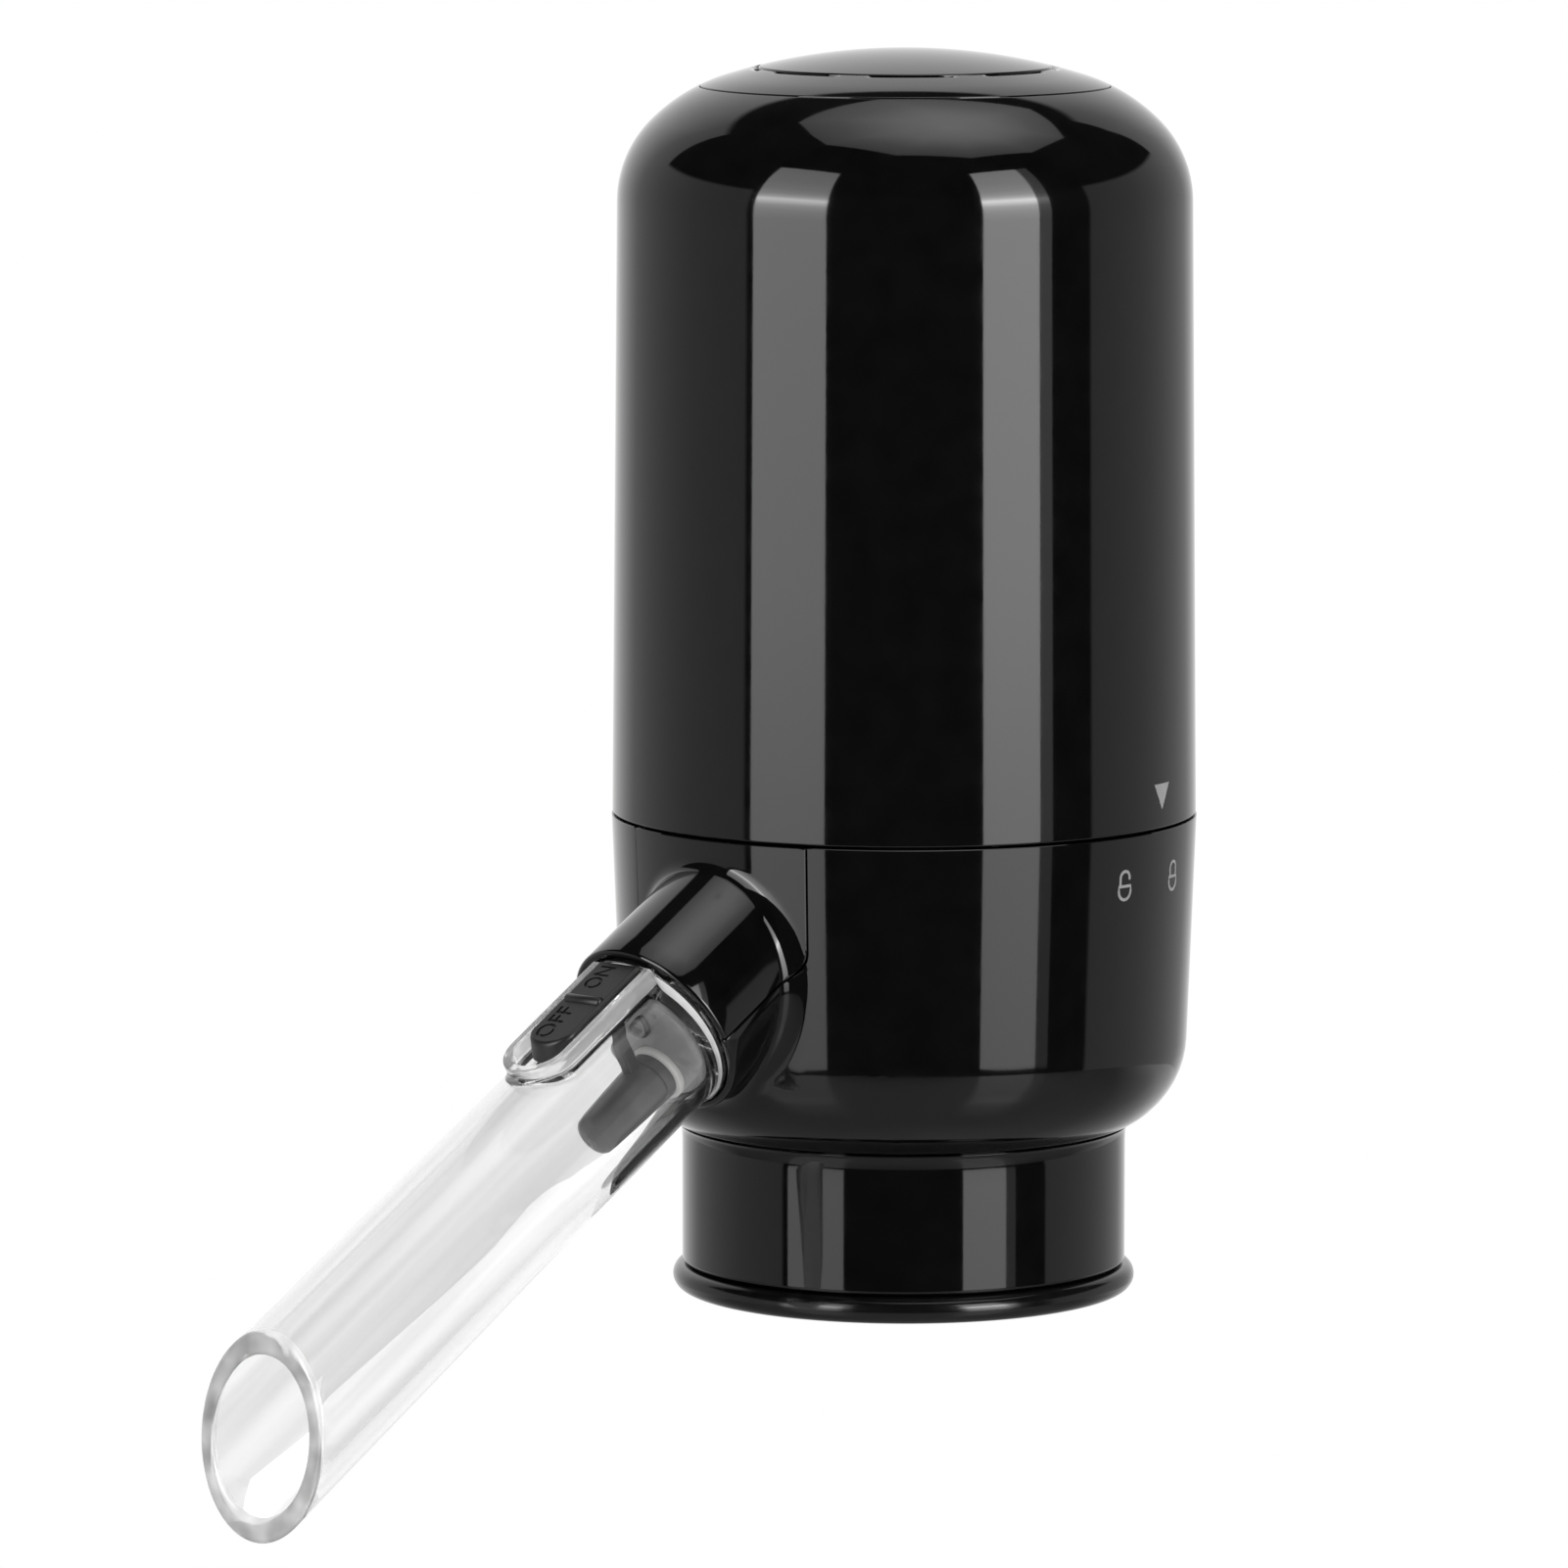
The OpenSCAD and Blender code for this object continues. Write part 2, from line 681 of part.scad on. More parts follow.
module base_plate() color(inner_black) difference() {
    union() {
        translate([0, 0, plate_bottom]) cylinder(h = plate_t, r = plate_r);
        ring(rib_in_r, rib_out_r, plate_top - eps, pump_bottom - cushion_t);
        translate([0, 0, spigot_bottom]) cylinder(h = plate_bottom - spigot_bottom + eps, r = spigot_r);
        translate([0, 0, plate_top - eps]) cylinder(h = barb_len + eps, r = barb_r);
        for (x = [-1, 1]) translate([x * door_screw_x, 0, plate_top - eps])
            cylinder(h = door_boss_h, r = door_boss_r);
        for (a = hook_angles) {
            ring_part(hook_out_r - hook_t, hook_out_r, lug_bottom, plate_bottom + eps, a, hook_half);
            ring_part(hook_out_r - eps, lug_out_r, lug_bottom, lug_bottom + lug_t, a, lug_half);
        }
    }
    ring(door_in_r - door_clear, door_out_r + door_clear, plate_bottom - eps,
        plate_bottom + door_t + contact_t);
    around(cell_angles, cell_circle_r) translate([0, 0, plate_bottom])
        cylinder(h = plate_t + eps, r = cell_hole_r);
    translate([0, 0, spigot_bottom - eps])
        cylinder(h = plate_top + barb_len - spigot_bottom + 2 * eps, r = barb_bore_r);
    ring(spigot_groove_r, spigot_r + eps, spigot_ring_z - spigot_ring_r - slip,
        spigot_ring_z + spigot_ring_r + slip);
    around(chassis_angles, chassis_circle) translate([0, 0, plate_bottom]) {
        translate([0, 0, -eps]) cylinder(h = head_h + slip + eps, r = head_r + screw_pass);
        cylinder(h = plate_t + eps, r = screw_r + screw_pass);
    }
    for (x = [-1, 1]) translate([x * door_screw_x, 0, plate_top + door_boss_h - door_boss_cover])
        pilot(plate_t + door_boss_h);
}

module spigot_oring() color(silicone_white) translate([0, 0, spigot_ring_z])
    o_ring(spigot_groove_r + spigot_ring_r + 2 * eps, spigot_ring_r);

module chassis_screws() color(steel) around(chassis_angles, chassis_circle)
    translate([0, 0, plate_bottom + head_h + slip]) mirror([0, 0, 1])
        screw(plate_t + foot_plate_t + boss_len / 2 - head_h);

module battery_door() color(inner_black) difference() {
    ring(door_in_r, door_out_r, plate_bottom, plate_bottom + door_t);
    for (x = [-1, 1]) translate([x * door_screw_x, 0, plate_bottom - eps]) {
        cylinder(h = door_t + 2 * eps, r = screw_r + screw_pass);
        cylinder(h = door_t / 2 + eps, r = head_r + screw_pass);
    }
}

module door_screws() color(steel) for (x = [-1, 1])
    translate([x * door_screw_x, 0, plate_bottom + door_t / 2]) mirror([0, 0, 1])
        screw(plate_t + door_boss_h - door_t / 2 - screw_end_gap);

// Battery holder and cells

module battery_holder() color(inner_black) difference() {
    union() {
        translate([0, 0, plate_top]) cylinder(h = foot_plate_t, r = foot_plate_r);
        around(chassis_angles, chassis_circle) translate([0, 0, plate_top])
            cylinder(h = foot_plate_t, r = boss_r);
        translate([0, 0, plate_top]) cylinder(h = deck_top - plate_top, r = holder_tube_r);
        around(cell_angles, cell_circle_r) translate([0, 0, plate_top])
            cylinder(h = deck_top - plate_top, r = cell_hole_r + tube_wall);
        for (a = cell_angles) rotate([0, 0, a]) translate([holder_bore_r, -tube_wall, plate_top])
            cube([cell_circle_r - cell_r - holder_bore_r, 2 * tube_wall, deck_top - plate_top]);
        translate([0, 0, deck_bottom]) cylinder(h = deck_t, r = foot_plate_r);
        around(post_angles, post_circle) translate([0, 0, deck_top - deck_t / 2])
            cylinder(h = bracket_bottom - deck_top + deck_t / 2, r = post_r);
    }
    translate([0, 0, plate_top - eps]) cylinder(h = deck_top - plate_top + 2 * eps, r = holder_bore_r);
    around(cell_angles, cell_circle_r) {
        translate([0, 0, plate_top - eps]) cylinder(h = deck_bottom - plate_top + eps, r = cell_hole_r);
        translate([0, 0, deck_bottom - eps]) cylinder(h = deck_t + 2 * eps, r = rivet_r + slip);
    }
    around(chassis_angles, chassis_circle) translate([0, 0, plate_top - eps])
        cylinder(h = foot_plate_t + 2 * eps, r = screw_r + screw_pass);
    for (x = [-1, 1]) translate([x * door_screw_x, 0, plate_top - eps])
        cylinder(h = foot_plate_t + 2 * eps, r = boss_r);
    around(post_angles, post_circle) translate([0, 0, bracket_bottom + eps])
        pilot(bracket_bottom - deck_top);
}

// A cell with its nub up, or down where it is turned over
module battery_cell(number) {
    turned = number % 2 == 0;
    rotate([0, 0, cell_angles[number - 1]]) translate([cell_circle_r, 0, turned ? cell_top : cell_bottom])
        mirror([0, 0, turned ? 1 : 0]) {
            color([0.2, 0.25, 0.3]) cylinder(h = cell_len - cell_nub_h, r = cell_r);
            color(steel) translate([0, 0, cell_len - cell_nub_h - eps])
                cylinder(h = cell_nub_h + eps, r = cell_nub_r);
        }
}

// Plates on the door that join two cells each, with a spring cone under every cell
module lower_contacts() color(steel) for (middle = [90, 270]) {
    ring_part(cell_circle_r - contact_half_w, cell_circle_r + contact_half_w, plate_bottom + door_t,
        plate_bottom + door_t + contact_t, middle, contact_half_angle);
    around([middle - cell_half_angle, middle + cell_half_angle], cell_circle_r)
        translate([0, 0, plate_bottom + door_t + contact_t - eps])
            cylinder(h = contact_spring_h + eps, r1 = contact_cone_r, r2 = contact_cone_tip_r);
}

// Discs over the cells, riveted through the deck, with a strip that joins the two at the back
module upper_contacts() color(steel) {
    around(cell_angles, cell_circle_r) {
        translate([0, 0, cell_top]) cylinder(h = contact_t, r = cell_r - contact_disc_inset);
        translate([0, 0, cell_top]) cylinder(h = contact_t + deck_t + contact_t, r = rivet_r);
    }
    ring_part(cell_circle_r - strip_half_w, cell_circle_r + strip_half_w, deck_top, deck_top + contact_t,
        180, strip_half_angle);
}

// Motor

module motor_can() color(steel) difference() {
    translate([0, 0, motor_bottom]) cylinder(h = motor_len, r = pump_r);
    translate([0, 0, motor_bottom + can_wall])
        cylinder(h = motor_len, r = pump_r - can_wall);
    translate([0, 0, motor_bottom - eps]) cylinder(h = can_wall + 2 * eps, r = bushing_r + bushing_press);
}

module motor_magnets() color([0.25, 0.25, 0.26]) for (a = [0, 180])
    ring_part(motor_inner_r - magnet_t, motor_inner_r, motor_bottom + magnet_end, motor_top - magnet_end, a,
        magnet_half_angle);

module motor_bushing() color(brass) translate([0, 0, motor_bottom - bushing_proud]) difference() {
    cylinder(h = bushing_len, r = bushing_r);
    translate([0, 0, -eps]) cylinder(h = bushing_len + 2 * eps, r = shaft_r + shaft_clear);
}

module motor_end_cap() color(white_nylon) difference() {
    union() {
        translate([0, 0, motor_top]) cylinder(h = end_cap_t, r = pump_r);
        ring(motor_inner_r - end_cap_skirt_t, motor_inner_r, motor_top - end_cap_skirt_h, motor_top + eps);
    }
    translate([0, 0, motor_top - eps]) cylinder(h = end_bearing_depth, r = shaft_r + shaft_clear);
}

module armature() color(brass) {
    shaft_bottom = eccentric_bottom + eccentric_floor_t;
    translate([0, 0, shaft_bottom]) cylinder(h = motor_top + end_cap_t / 2 - shaft_bottom, r = shaft_r);
    translate([0, 0, motor_bottom + core_end]) cylinder(h = motor_len - 2 * core_end, r = core_r);
    translate([0, 0, motor_top - core_end - eps]) cylinder(h = commutator_len, r = commutator_r);
}

module eccentric() color(white_nylon) difference() {
    translate([eccentric_offset, 0, eccentric_bottom]) cylinder(h = eccentric_h, r = eccentric_r);
    translate([0, 0, eccentric_bottom + eccentric_floor_t]) cylinder(h = eccentric_h, r = shaft_r);
}

// Pump

module pump_housing() color(inner_black) difference() {
    translate([0, 0, housing_bottom]) cylinder(h = housing_h, r = pump_r);
    translate([0, 0, housing_bottom - eps])
        cylinder(h = housing_h - housing_wall + eps, r = pump_r - housing_wall);
    translate([0, 0, motor_bottom - housing_wall - eps])
        cylinder(h = housing_wall + 2 * eps, r = bushing_r + bushing_room);
}

module pump_rocker() color(white_nylon) {
    for (a = cup_angles) rotate([0, 0, a]) {
        translate([0, -rocker_arm_w / 2, rocker_bottom]) cube([cup_circle, rocker_arm_w, rocker_t]);
        translate([cup_circle, 0, rocker_bottom]) cylinder(h = rocker_t, r = cup_r);
    }
    translate([0, 0, rocker_bottom]) cylinder(h = rocker_t + rocker_stem_h, r = cup_r);
}

module pump_diaphragm() color(soft_black) {
    translate([0, 0, diaphragm_bottom]) cylinder(h = diaphragm_t, r = pump_r);
    around(cup_angles, cup_circle) translate([0, 0, diaphragm_bottom])
        cylinder(h = diaphragm_t + cup_h, r = cup_r);
}

module pump_valve_cap() color(inner_black) difference() {
    union() {
        translate([0, 0, pump_bottom]) cylinder(h = valve_cap_h, r = pump_r);
        translate([0, 0, pump_bottom - barb_len]) cylinder(h = barb_len + eps, r = barb_r);
    }
    translate([0, 0, pump_bottom + valve_cap_h / 2]) cylinder(h = valve_cap_h, r = pump_r - valve_cap_wall);
    translate([0, 0, pump_bottom - barb_len - eps])
        cylinder(h = barb_len + valve_cap_h, r = barb_bore_r);
}

module pump_cushion() color(soft_black)
    ring(rib_in_r, rib_out_r, pump_bottom - cushion_t, pump_bottom);

module air_hose() color(silicone_white)
    ring(barb_r + hose_clear, hose_r, plate_top + slip, pump_bottom - slip);

// Lower housing

// A fillet that follows the round body's surface and runs up the socket, closed inside the wall.
// It stands proud of both by a fine lip, and over the socket it is limited by the room below the seam.
module socket_fillet_solid() {
    sides = 48;
    steps = 8;
    sunk = wall / 4;
    lip = 0.05;
    socket_top = socket_rise + socket_r + lip;
    room_drop = spout_drop - seam_gap - sunk * sin(spout_decline);
    seam_room = room_drop * cos(spout_decline) - socket_top;
    fillet_top = min(socket_fillet, seam_room);
    function fillet_at(a) = fillet_top + (socket_fillet - fillet_top) * (1 - cos(a)) / 2;
    function surface_s(x, up, r) = (sqrt(r * r - x * x) - body_r - up * sin(spout_decline))
        / cos(spout_decline);
    function body_radius(up) = body_r + (lower_r - body_r) * (spout_drop - up) / (seam_z - foot_z);
    function point(r, a, h) = let (x = r * sin(a), up = socket_rise + r * cos(a))
        [x, up, surface_s(x, up, body_radius(up)) + h];
    base = [for (k = [0:sides - 1]) let (a = 360 * k / sides)
        point(socket_r + lip + fillet_at(a), a, -sunk)];
    curve = [for (i = [0:steps], k = [0:sides - 1])
        let (t = 90 * i / steps, a = 360 * k / sides, f = fillet_at(a))
        point(socket_r + lip + f * (1 - sin(t)), a, lip + f * (1 - cos(t)))];
    points = concat(base, curve, [point(0, 0, -sunk), point(0, 0, lip + fillet_top)]);
    low_middle = len(points) - 2;
    high_middle = len(points) - 1;
    top_ring = (steps + 1) * sides;
    walls = [for (i = [0:steps], k = [0:sides - 1])
        let (n = (k + 1) % sides, p = i * sides)
        each [[p + k, p + n, p + sides + k], [p + n, p + sides + n, p + sides + k]]];
    ends = [for (k = [0:sides - 1]) let (n = (k + 1) % sides)
        each [[low_middle, n, k], [high_middle, top_ring + k, top_ring + n]]];
    polyhedron(points, concat(walls, ends));
}

// The housing before the panel is split from it
module lower_housing() difference() {
    union() {
        difference() {
            union() {
                rotate_extrude() polygon(concat(
                    [[0, seam_z], [body_r, seam_z]],
                    arc(foot_c, foot_r, foot_start, foot_end),
                    [[0, foot_edge_z]]));
                on_spout() socket_fillet_solid();
            }
            rotate_extrude() polygon(concat(
                [[0, seam_z + 1], [lower_mouth_r, seam_z + 1], [lower_mouth_r, seam_z]],
                arc(foot_c, foot_r - wall, foot_start, foot_inner_end),
                [[neck_hole_r, floor_top], [neck_hole_r, foot_edge_z - 1], [0, foot_edge_z - 1]]));
        }
        on_spout() translate([0, socket_rise, -sleeve_depth])
            cylinder(h = sleeve_depth + socket_len, r = socket_r);
    }
    on_spout() translate([0, socket_rise, -sleeve_depth - 1])
        cylinder(h = sleeve_depth + socket_len + 2, r = socket_bore_r);
}

// The space of the panel: a wedge above the plane that halves the socket, drawn in by a margin
module panel_zone(margin) {
    reach = 3 * body_r;
    intersection() {
        translate([0, -margin / sin(panel_half), 0]) linear_extrude(seam_z + 1)
            polygon([[0, 0], [-reach * tan(panel_half), -reach], [reach * tan(panel_half), -reach]]);
        on_spout() translate([-reach / 2, socket_rise + margin, -reach / 2]) cube(reach);
    }
}

module lower_shell() color(gloss_black) {
    difference() {
        lower_housing();
        panel_zone(-panel_gap / 2);
    }
    for (a = hook_angles) {
        lock_end = a + lock_angle + lug_half + stop_gap;
        open_end = a - unlock_angle - lug_half - stop_gap;
        ledge_start = a - unlock_angle + lug_half + stop_gap;
        out_r = lower_mouth_r + wall / 4;
        ledge_end = lock_end + stop_w / 2;
        ring_part(ledge_in_r, out_r, ledge_bottom, ledge_top, (ledge_start + ledge_end) / 2,
            (ledge_end - ledge_start) / 2);
        for (middle = [ledge_end, open_end - stop_w / 2])
            ring_part(ledge_in_r + slip, out_r + slip, lug_bottom - seat_clear, ledge_top - slip, middle,
                stop_w / 2);
    }
}

module spout_panel() color(gloss_black) intersection() {
    lower_housing();
    panel_zone(panel_gap / 2);
}

module neck_collar() color(gloss_black) difference() {
    rotate_extrude() polygon([
        [collar_inner_r, collar_bottom], [collar_r, collar_bottom],
        [collar_r, collar_shoulder_z - collar_flare_h],
        [collar_r + collar_flare_out, collar_shoulder_z - collar_flare_edge],
        [foot_end_r, collar_shoulder_z], [neck_hole_r - seat_clear, collar_shoulder_z],
        [neck_hole_r - seat_clear, collar_top], [collar_hole_r, collar_top],
        [collar_hole_r, collar_top - collar_plate_t], [collar_inner_r, collar_top - collar_plate_t]]);
    around(post_angles, manifold_screw_circle) translate([0, 0, collar_top + eps])
        pilot(collar_plate_t - 2 * seat_clear);
}

module bottle_seal() color(soft_black) {
    bead_c = bead_out_r - bead_r;
    rotate_extrude() polygon([[bottle_r, 0], [bead_c, 0], [bead_c, seal_flange_top],
        [seal_out_r, seal_flange_top], [seal_out_r, seal_top], [bottle_r, seal_top]]);
    translate([0, 0, bead_r]) o_ring(bead_c, bead_r);
}

module bottle_gasket() color(silicone_white)
    ring(bell_r + bell_gasket_clear, collar_hole_r - seat_clear, collar_top - bottle_gasket_t, collar_top);

// Manifold: wine goes up from the nipple and out to the spout, air comes down from the spigot

module wine_manifold() color(white_nylon) difference() {
    cup_base = cup_floor - spigot_cup_floor_t;
    air_duct_bottom = bell_top - air_stub_len - 1;
    union() {
        difference() {
            union() {
                translate([0, 0, collar_top]) cylinder(h = flange_t, r = flange_r);
                translate([0, 0, collar_top])
                    cylinder(h = bell_top + bell_wall - collar_top, r = bell_r + bell_wall);
            }
            translate([0, 0, collar_top - eps]) cylinder(h = bell_top - collar_top + eps, r = bell_r);
        }
        translate([0, tower_y, bell_top]) cylinder(h = cup_base - bell_top, r = tower_r);
        translate([0, 0, cup_base - eps])
            cylinder(h = cup_top - cup_base, r = cup_bore_r + spigot_cup_wall);
        translate([0, nipple_y, nipple_bottom]) cylinder(h = nipple_len + eps, r = nipple_r);
        translate([0, air_duct_y, bell_top - air_stub_len])
            cylinder(h = air_stub_len + eps, r = air_duct_r + air_stub_wall);
        translate([0, 0, arm_z]) rotate([90, 0, 0]) cylinder(h = -arm_end_y, r = arm_r);
        on_spout() translate([0, 0, chamber_back]) cylinder(h = outlet_s - chamber_back, r = chamber_r);
    }
    translate([0, nipple_y, nipple_bottom - eps]) cylinder(h = arm_z - nipple_bottom, r = wine_duct_r);
    translate([0, nipple_y + wine_duct_r, arm_z]) rotate([90, 0, 0])
        cylinder(h = -arm_end_y + duct_past + nipple_y, r = wine_duct_r);
    on_spout() translate([0, 0, chamber_back + chamber_floor_t])
        cylinder(h = outlet_s - chamber_back, r = chamber_bore_r);
    translate([0, air_duct_y, air_duct_bottom])
        cylinder(h = cup_floor + 1 - air_duct_bottom, r = air_duct_r);
    translate([0, 0, cup_floor]) cylinder(h = cup_top - cup_floor + 1, r = cup_bore_r);
    around(post_angles, manifold_screw_circle) translate([0, 0, collar_top - eps])
        cylinder(h = flange_t + 2 * eps, r = screw_r + screw_pass);
}

module manifold_screws() color(steel) around(post_angles, manifold_screw_circle)
    translate([0, 0, flange_top]) screw(flange_t + collar_plate_t - screw_end_gap / 2);

// A duckbill on the end of the air duct
module air_check_valve() color(silicone_white)
    translate([0, air_duct_y, bell_top - slip]) mirror([0, 0, 1]) difference() {
        stub_r = air_duct_r + air_stub_wall;
        sleeve_r = stub_r + duck_wall;
        union() {
            cylinder(h = duck_sleeve_len, r = sleeve_r);
            translate([0, 0, duck_sleeve_len - eps])
                cylinder(h = duck_bill_len, r1 = sleeve_r, r2 = duck_bill_r);
        }
        translate([0, 0, -eps]) cylinder(h = duck_sleeve_len - 2 * seat_clear, r = stub_r + hose_clear);
        translate([0, 0, duck_sleeve_len - 1])
            cylinder(h = duck_bill_len - duck_inside_r, r1 = stub_r, r2 = duck_inside_r);
        translate([-duck_bill_r + duck_slit, -duck_slit / 2, duck_sleeve_len + 1])
            cube([2 * (duck_bill_r - duck_slit), duck_slit, duck_bill_len]);
    }

// Spout

module pour_spout() color(clear_acrylic) on_spout() difference() {
    union() {
        translate([0, socket_rise, plug_back]) cylinder(h = plug_front - plug_back, r = plug_r);
        translate([0, 0, plug_front - eps])
            cylinder(h = spout_len, r1 = tube_root_r, r2 = tube_root_r + tube_slope * spout_len);
        slot_solid(pocket_half + rim_wall, plug_front - eps, pocket_end + rim_wall, 0, rim_top);
    }
    translate([0, 0, spout_len]) rotate([-tip_angle, 0, 0])
        translate([-2 * tube_tip_r, -4 * tube_tip_r, 0]) cube([4 * tube_tip_r, 8 * tube_tip_r, spout_len]);
    translate([0, 0, plug_back - 1]) cylinder(h = seat_s + seat_len - plug_back + 1, r = tail_bore_r);
    translate([0, 0, plug_back]) cylinder(h = 2 * spout_len, r = tube_bore_r);
    slot_solid(pocket_half, pocket_start, pocket_end, pocket_floor, rim_top + 1);
    translate([-stem_w / 2 - part_clear, 0, stem_s - part_clear])
        cube([stem_w + 2 * part_clear, slider_top, stem_len + slider_travel + 2 * part_clear]);
    translate([0, socket_rise, groove_s]) rotate_extrude() translate([groove_r, 0])
        square([plug_r - groove_r + 1, groove_w]);
}

module spout_oring() color(soft_black) on_spout() translate([0, socket_rise, groove_s + groove_w / 2])
    o_ring(groove_r + spout_oring_r + eps, spout_oring_r);

module spout_gasket() color(silicone_white) on_spout() translate([0, 0, outlet_s])
    ring(chamber_bore_r + slip, chamber_r, 0, plug_back - outlet_s);

module valve_seat() color(clear_acrylic) on_spout()
    ring(seat_hole_r, tail_bore_r - slip, seat_s, seat_s + seat_len);

module switch_slider() color(soft_black) on_spout() {
    slot_solid(slider_w / 2, slider_start, slider_end, slider_bottom, slider_top);
    translate([-stem_w / 2, 0, stem_s]) cube([stem_w, slider_bottom + eps, stem_len]);
    translate([-slider_w / 2 + ridge_inset, slider_top - ridge_sunk, slider_start + ridge_offset])
        rotate([0, 90, 0]) cylinder(h = slider_w - 2 * ridge_inset, r = ridge_r);
}

// A round shuttle in the tube's tail, with a pocket for the slider's stem
module valve_plug() color(soft_black) on_spout() difference() {
    edge_c = [valve_r - valve_edge_r, valve_s + valve_edge_r];
    rotate_extrude() polygon(concat(
        [[0, valve_s]],
        arc(edge_c, valve_edge_r, -90, 0),
        [[valve_r, valve_s + valve_len], [0, valve_s + valve_len]]));
    translate([-stem_w / 2 - slip, -slip, stem_s - slip])
        cube([stem_w + 2 * slip, valve_r + 1, stem_len + 2 * slip]);
}

upper_shell();
top_cap();
base_plate();
spigot_oring();
battery_door();
battery_holder();
for (number = [1:4])
    battery_cell(number);
lower_contacts();
upper_contacts();
motor_can();
motor_magnets();
motor_bushing();
motor_end_cap();
armature();
eccentric();
pump_housing();
pump_rocker();
pump_diaphragm();
pump_valve_cap();
pump_cushion();
air_hose();
board_bracket();
control_board();
tact_switch();
lead_wires();
chassis_screws();
door_screws();
board_screws();
power_button();
button_spring();
lower_shell();
spout_panel();
neck_collar();
bottle_seal();
bottle_gasket();
wine_manifold();
air_check_valve();
manifold_screws();
pour_spout();
spout_oring();
spout_gasket();
valve_seat();
switch_slider();
valve_plug();
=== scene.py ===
import json
import math
from functools import cache

import bmesh
import bpy
import numpy as np
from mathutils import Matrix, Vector
from mathutils.geometry import tessellate_polygon


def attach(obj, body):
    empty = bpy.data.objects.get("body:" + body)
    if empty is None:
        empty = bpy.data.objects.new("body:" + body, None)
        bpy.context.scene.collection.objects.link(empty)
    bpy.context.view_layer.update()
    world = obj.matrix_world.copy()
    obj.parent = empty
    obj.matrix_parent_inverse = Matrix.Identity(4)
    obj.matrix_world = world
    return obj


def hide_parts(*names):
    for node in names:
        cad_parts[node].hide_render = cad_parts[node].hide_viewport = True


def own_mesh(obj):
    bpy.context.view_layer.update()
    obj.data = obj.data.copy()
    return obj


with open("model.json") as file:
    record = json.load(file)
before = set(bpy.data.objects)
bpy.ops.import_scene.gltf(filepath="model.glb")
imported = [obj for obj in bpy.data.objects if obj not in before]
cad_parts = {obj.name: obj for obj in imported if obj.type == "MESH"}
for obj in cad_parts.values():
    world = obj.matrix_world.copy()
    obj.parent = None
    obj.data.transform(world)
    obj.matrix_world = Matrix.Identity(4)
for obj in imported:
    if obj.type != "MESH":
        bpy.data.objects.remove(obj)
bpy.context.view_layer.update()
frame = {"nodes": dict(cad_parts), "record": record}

# Sizes are in millimetres in the part's frame, and go to Blender in metres
MM = 0.001

# Camera of the photograph, which takes a square picture
CAMERA_AZIMUTH = math.radians(43)
CAMERA_ELEVATION = math.radians(7.388)
CAMERA_DISTANCE = 1279.8
CAMERA_LENS = 238.8
CAMERA_SENSOR = 36
CAMERA_AIM = (-10.81, -10.08, 62.5)

# Slope of the spout
SPOUT_DECLINE = math.radians(30.7)


# Shader nodes

# Most values of a noise texture lie in this span
NOISE_SPAN = (0.3, 0.7)
LOOKS = {}


def grey(value):
    return (value, value, value)


def greys(stops):
    """(place, colour) stops from (place, value) ones."""
    return [(place, grey(value)) for place, value in stops]


def new_material(name):
    """A new material, kept in LOOKS by its name: its node tree and its Principled shader."""
    material = bpy.data.materials.new(name)
    material.use_nodes = True
    LOOKS[name] = material
    return material.node_tree, material.node_tree.nodes["Principled BSDF"]


def plug(tree, node, inputs):
    """Gives a node's sockets other nodes' outputs or fixed values."""
    for socket, value in inputs.items():
        if isinstance(value, bpy.types.NodeSocket):
            tree.links.new(value, node.inputs[socket])
        else:
            node.inputs[socket].default_value = value


def wired(tree, kind, inputs, operation=None):
    """A new node with its inputs."""
    node = tree.nodes.new("ShaderNode" + kind)
    if operation:
        node.operation = operation
    plug(tree, node, inputs)
    return node


def maths(tree, operation, *values):
    return wired(tree, "Math", dict(enumerate(values)), operation).outputs["Value"]


def vector_maths(tree, operation, *values):
    return wired(tree, "VectorMath", dict(enumerate(values)), operation).outputs


def scaled(tree, value, span, result):
    """The value mapped from one span to another, and held at its ends."""
    ends = {"From Min": span[0], "From Max": span[1], "To Min": result[0], "To Max": result[1]}
    return wired(tree, "MapRange", {"Value": value, **ends}).outputs["Result"]


def noise(tree, scale, detail=3.0, stretch=None):
    """Noise on the object's own coordinates. stretch draws it out along the spout."""
    where = wired(tree, "TexCoord", {}).outputs["Object"]
    if stretch:
        along = {"Rotation": (SPOUT_DECLINE, 0, 0), "Scale": (1, stretch, 1)}
        mapping = wired(tree, "Mapping", {"Vector": where, **along})
        mapping.vector_type = "TEXTURE"
        where = mapping.outputs["Vector"]
    return wired(tree, "TexNoise", {"Vector": where, "Scale": scale, "Detail": detail}).outputs["Fac"]


def ramp_of(tree, value, stops):
    """The value as a colour, through (place, colour) stops."""
    ramp = wired(tree, "ValToRGB", {"Fac": value})
    elements = ramp.color_ramp.elements
    while len(elements) < len(stops):
        elements.new(0.5)
    for element, (place, colour) in zip(elements, stops):
        element.position = place
        element.color = (*colour, 1)
    return ramp.outputs["Color"]


def surface(tree, patches, stops, rough):
    """A shader's colour and roughness from patches of noise."""
    roughness = scaled(tree, patches, NOISE_SPAN, rough)
    return {"Base Color": ramp_of(tree, patches, stops), "Roughness": roughness}


def bump(tree, height, depth):
    """The normal of a relief with a depth in millimetres."""
    return wired(tree, "Bump", {"Height": height, "Distance": depth * MM}).outputs["Normal"]


# Materials

RELIEF_FINER = 3
ACRYLIC_IOR = 1.49
STREAK_RELIEF = 0.006


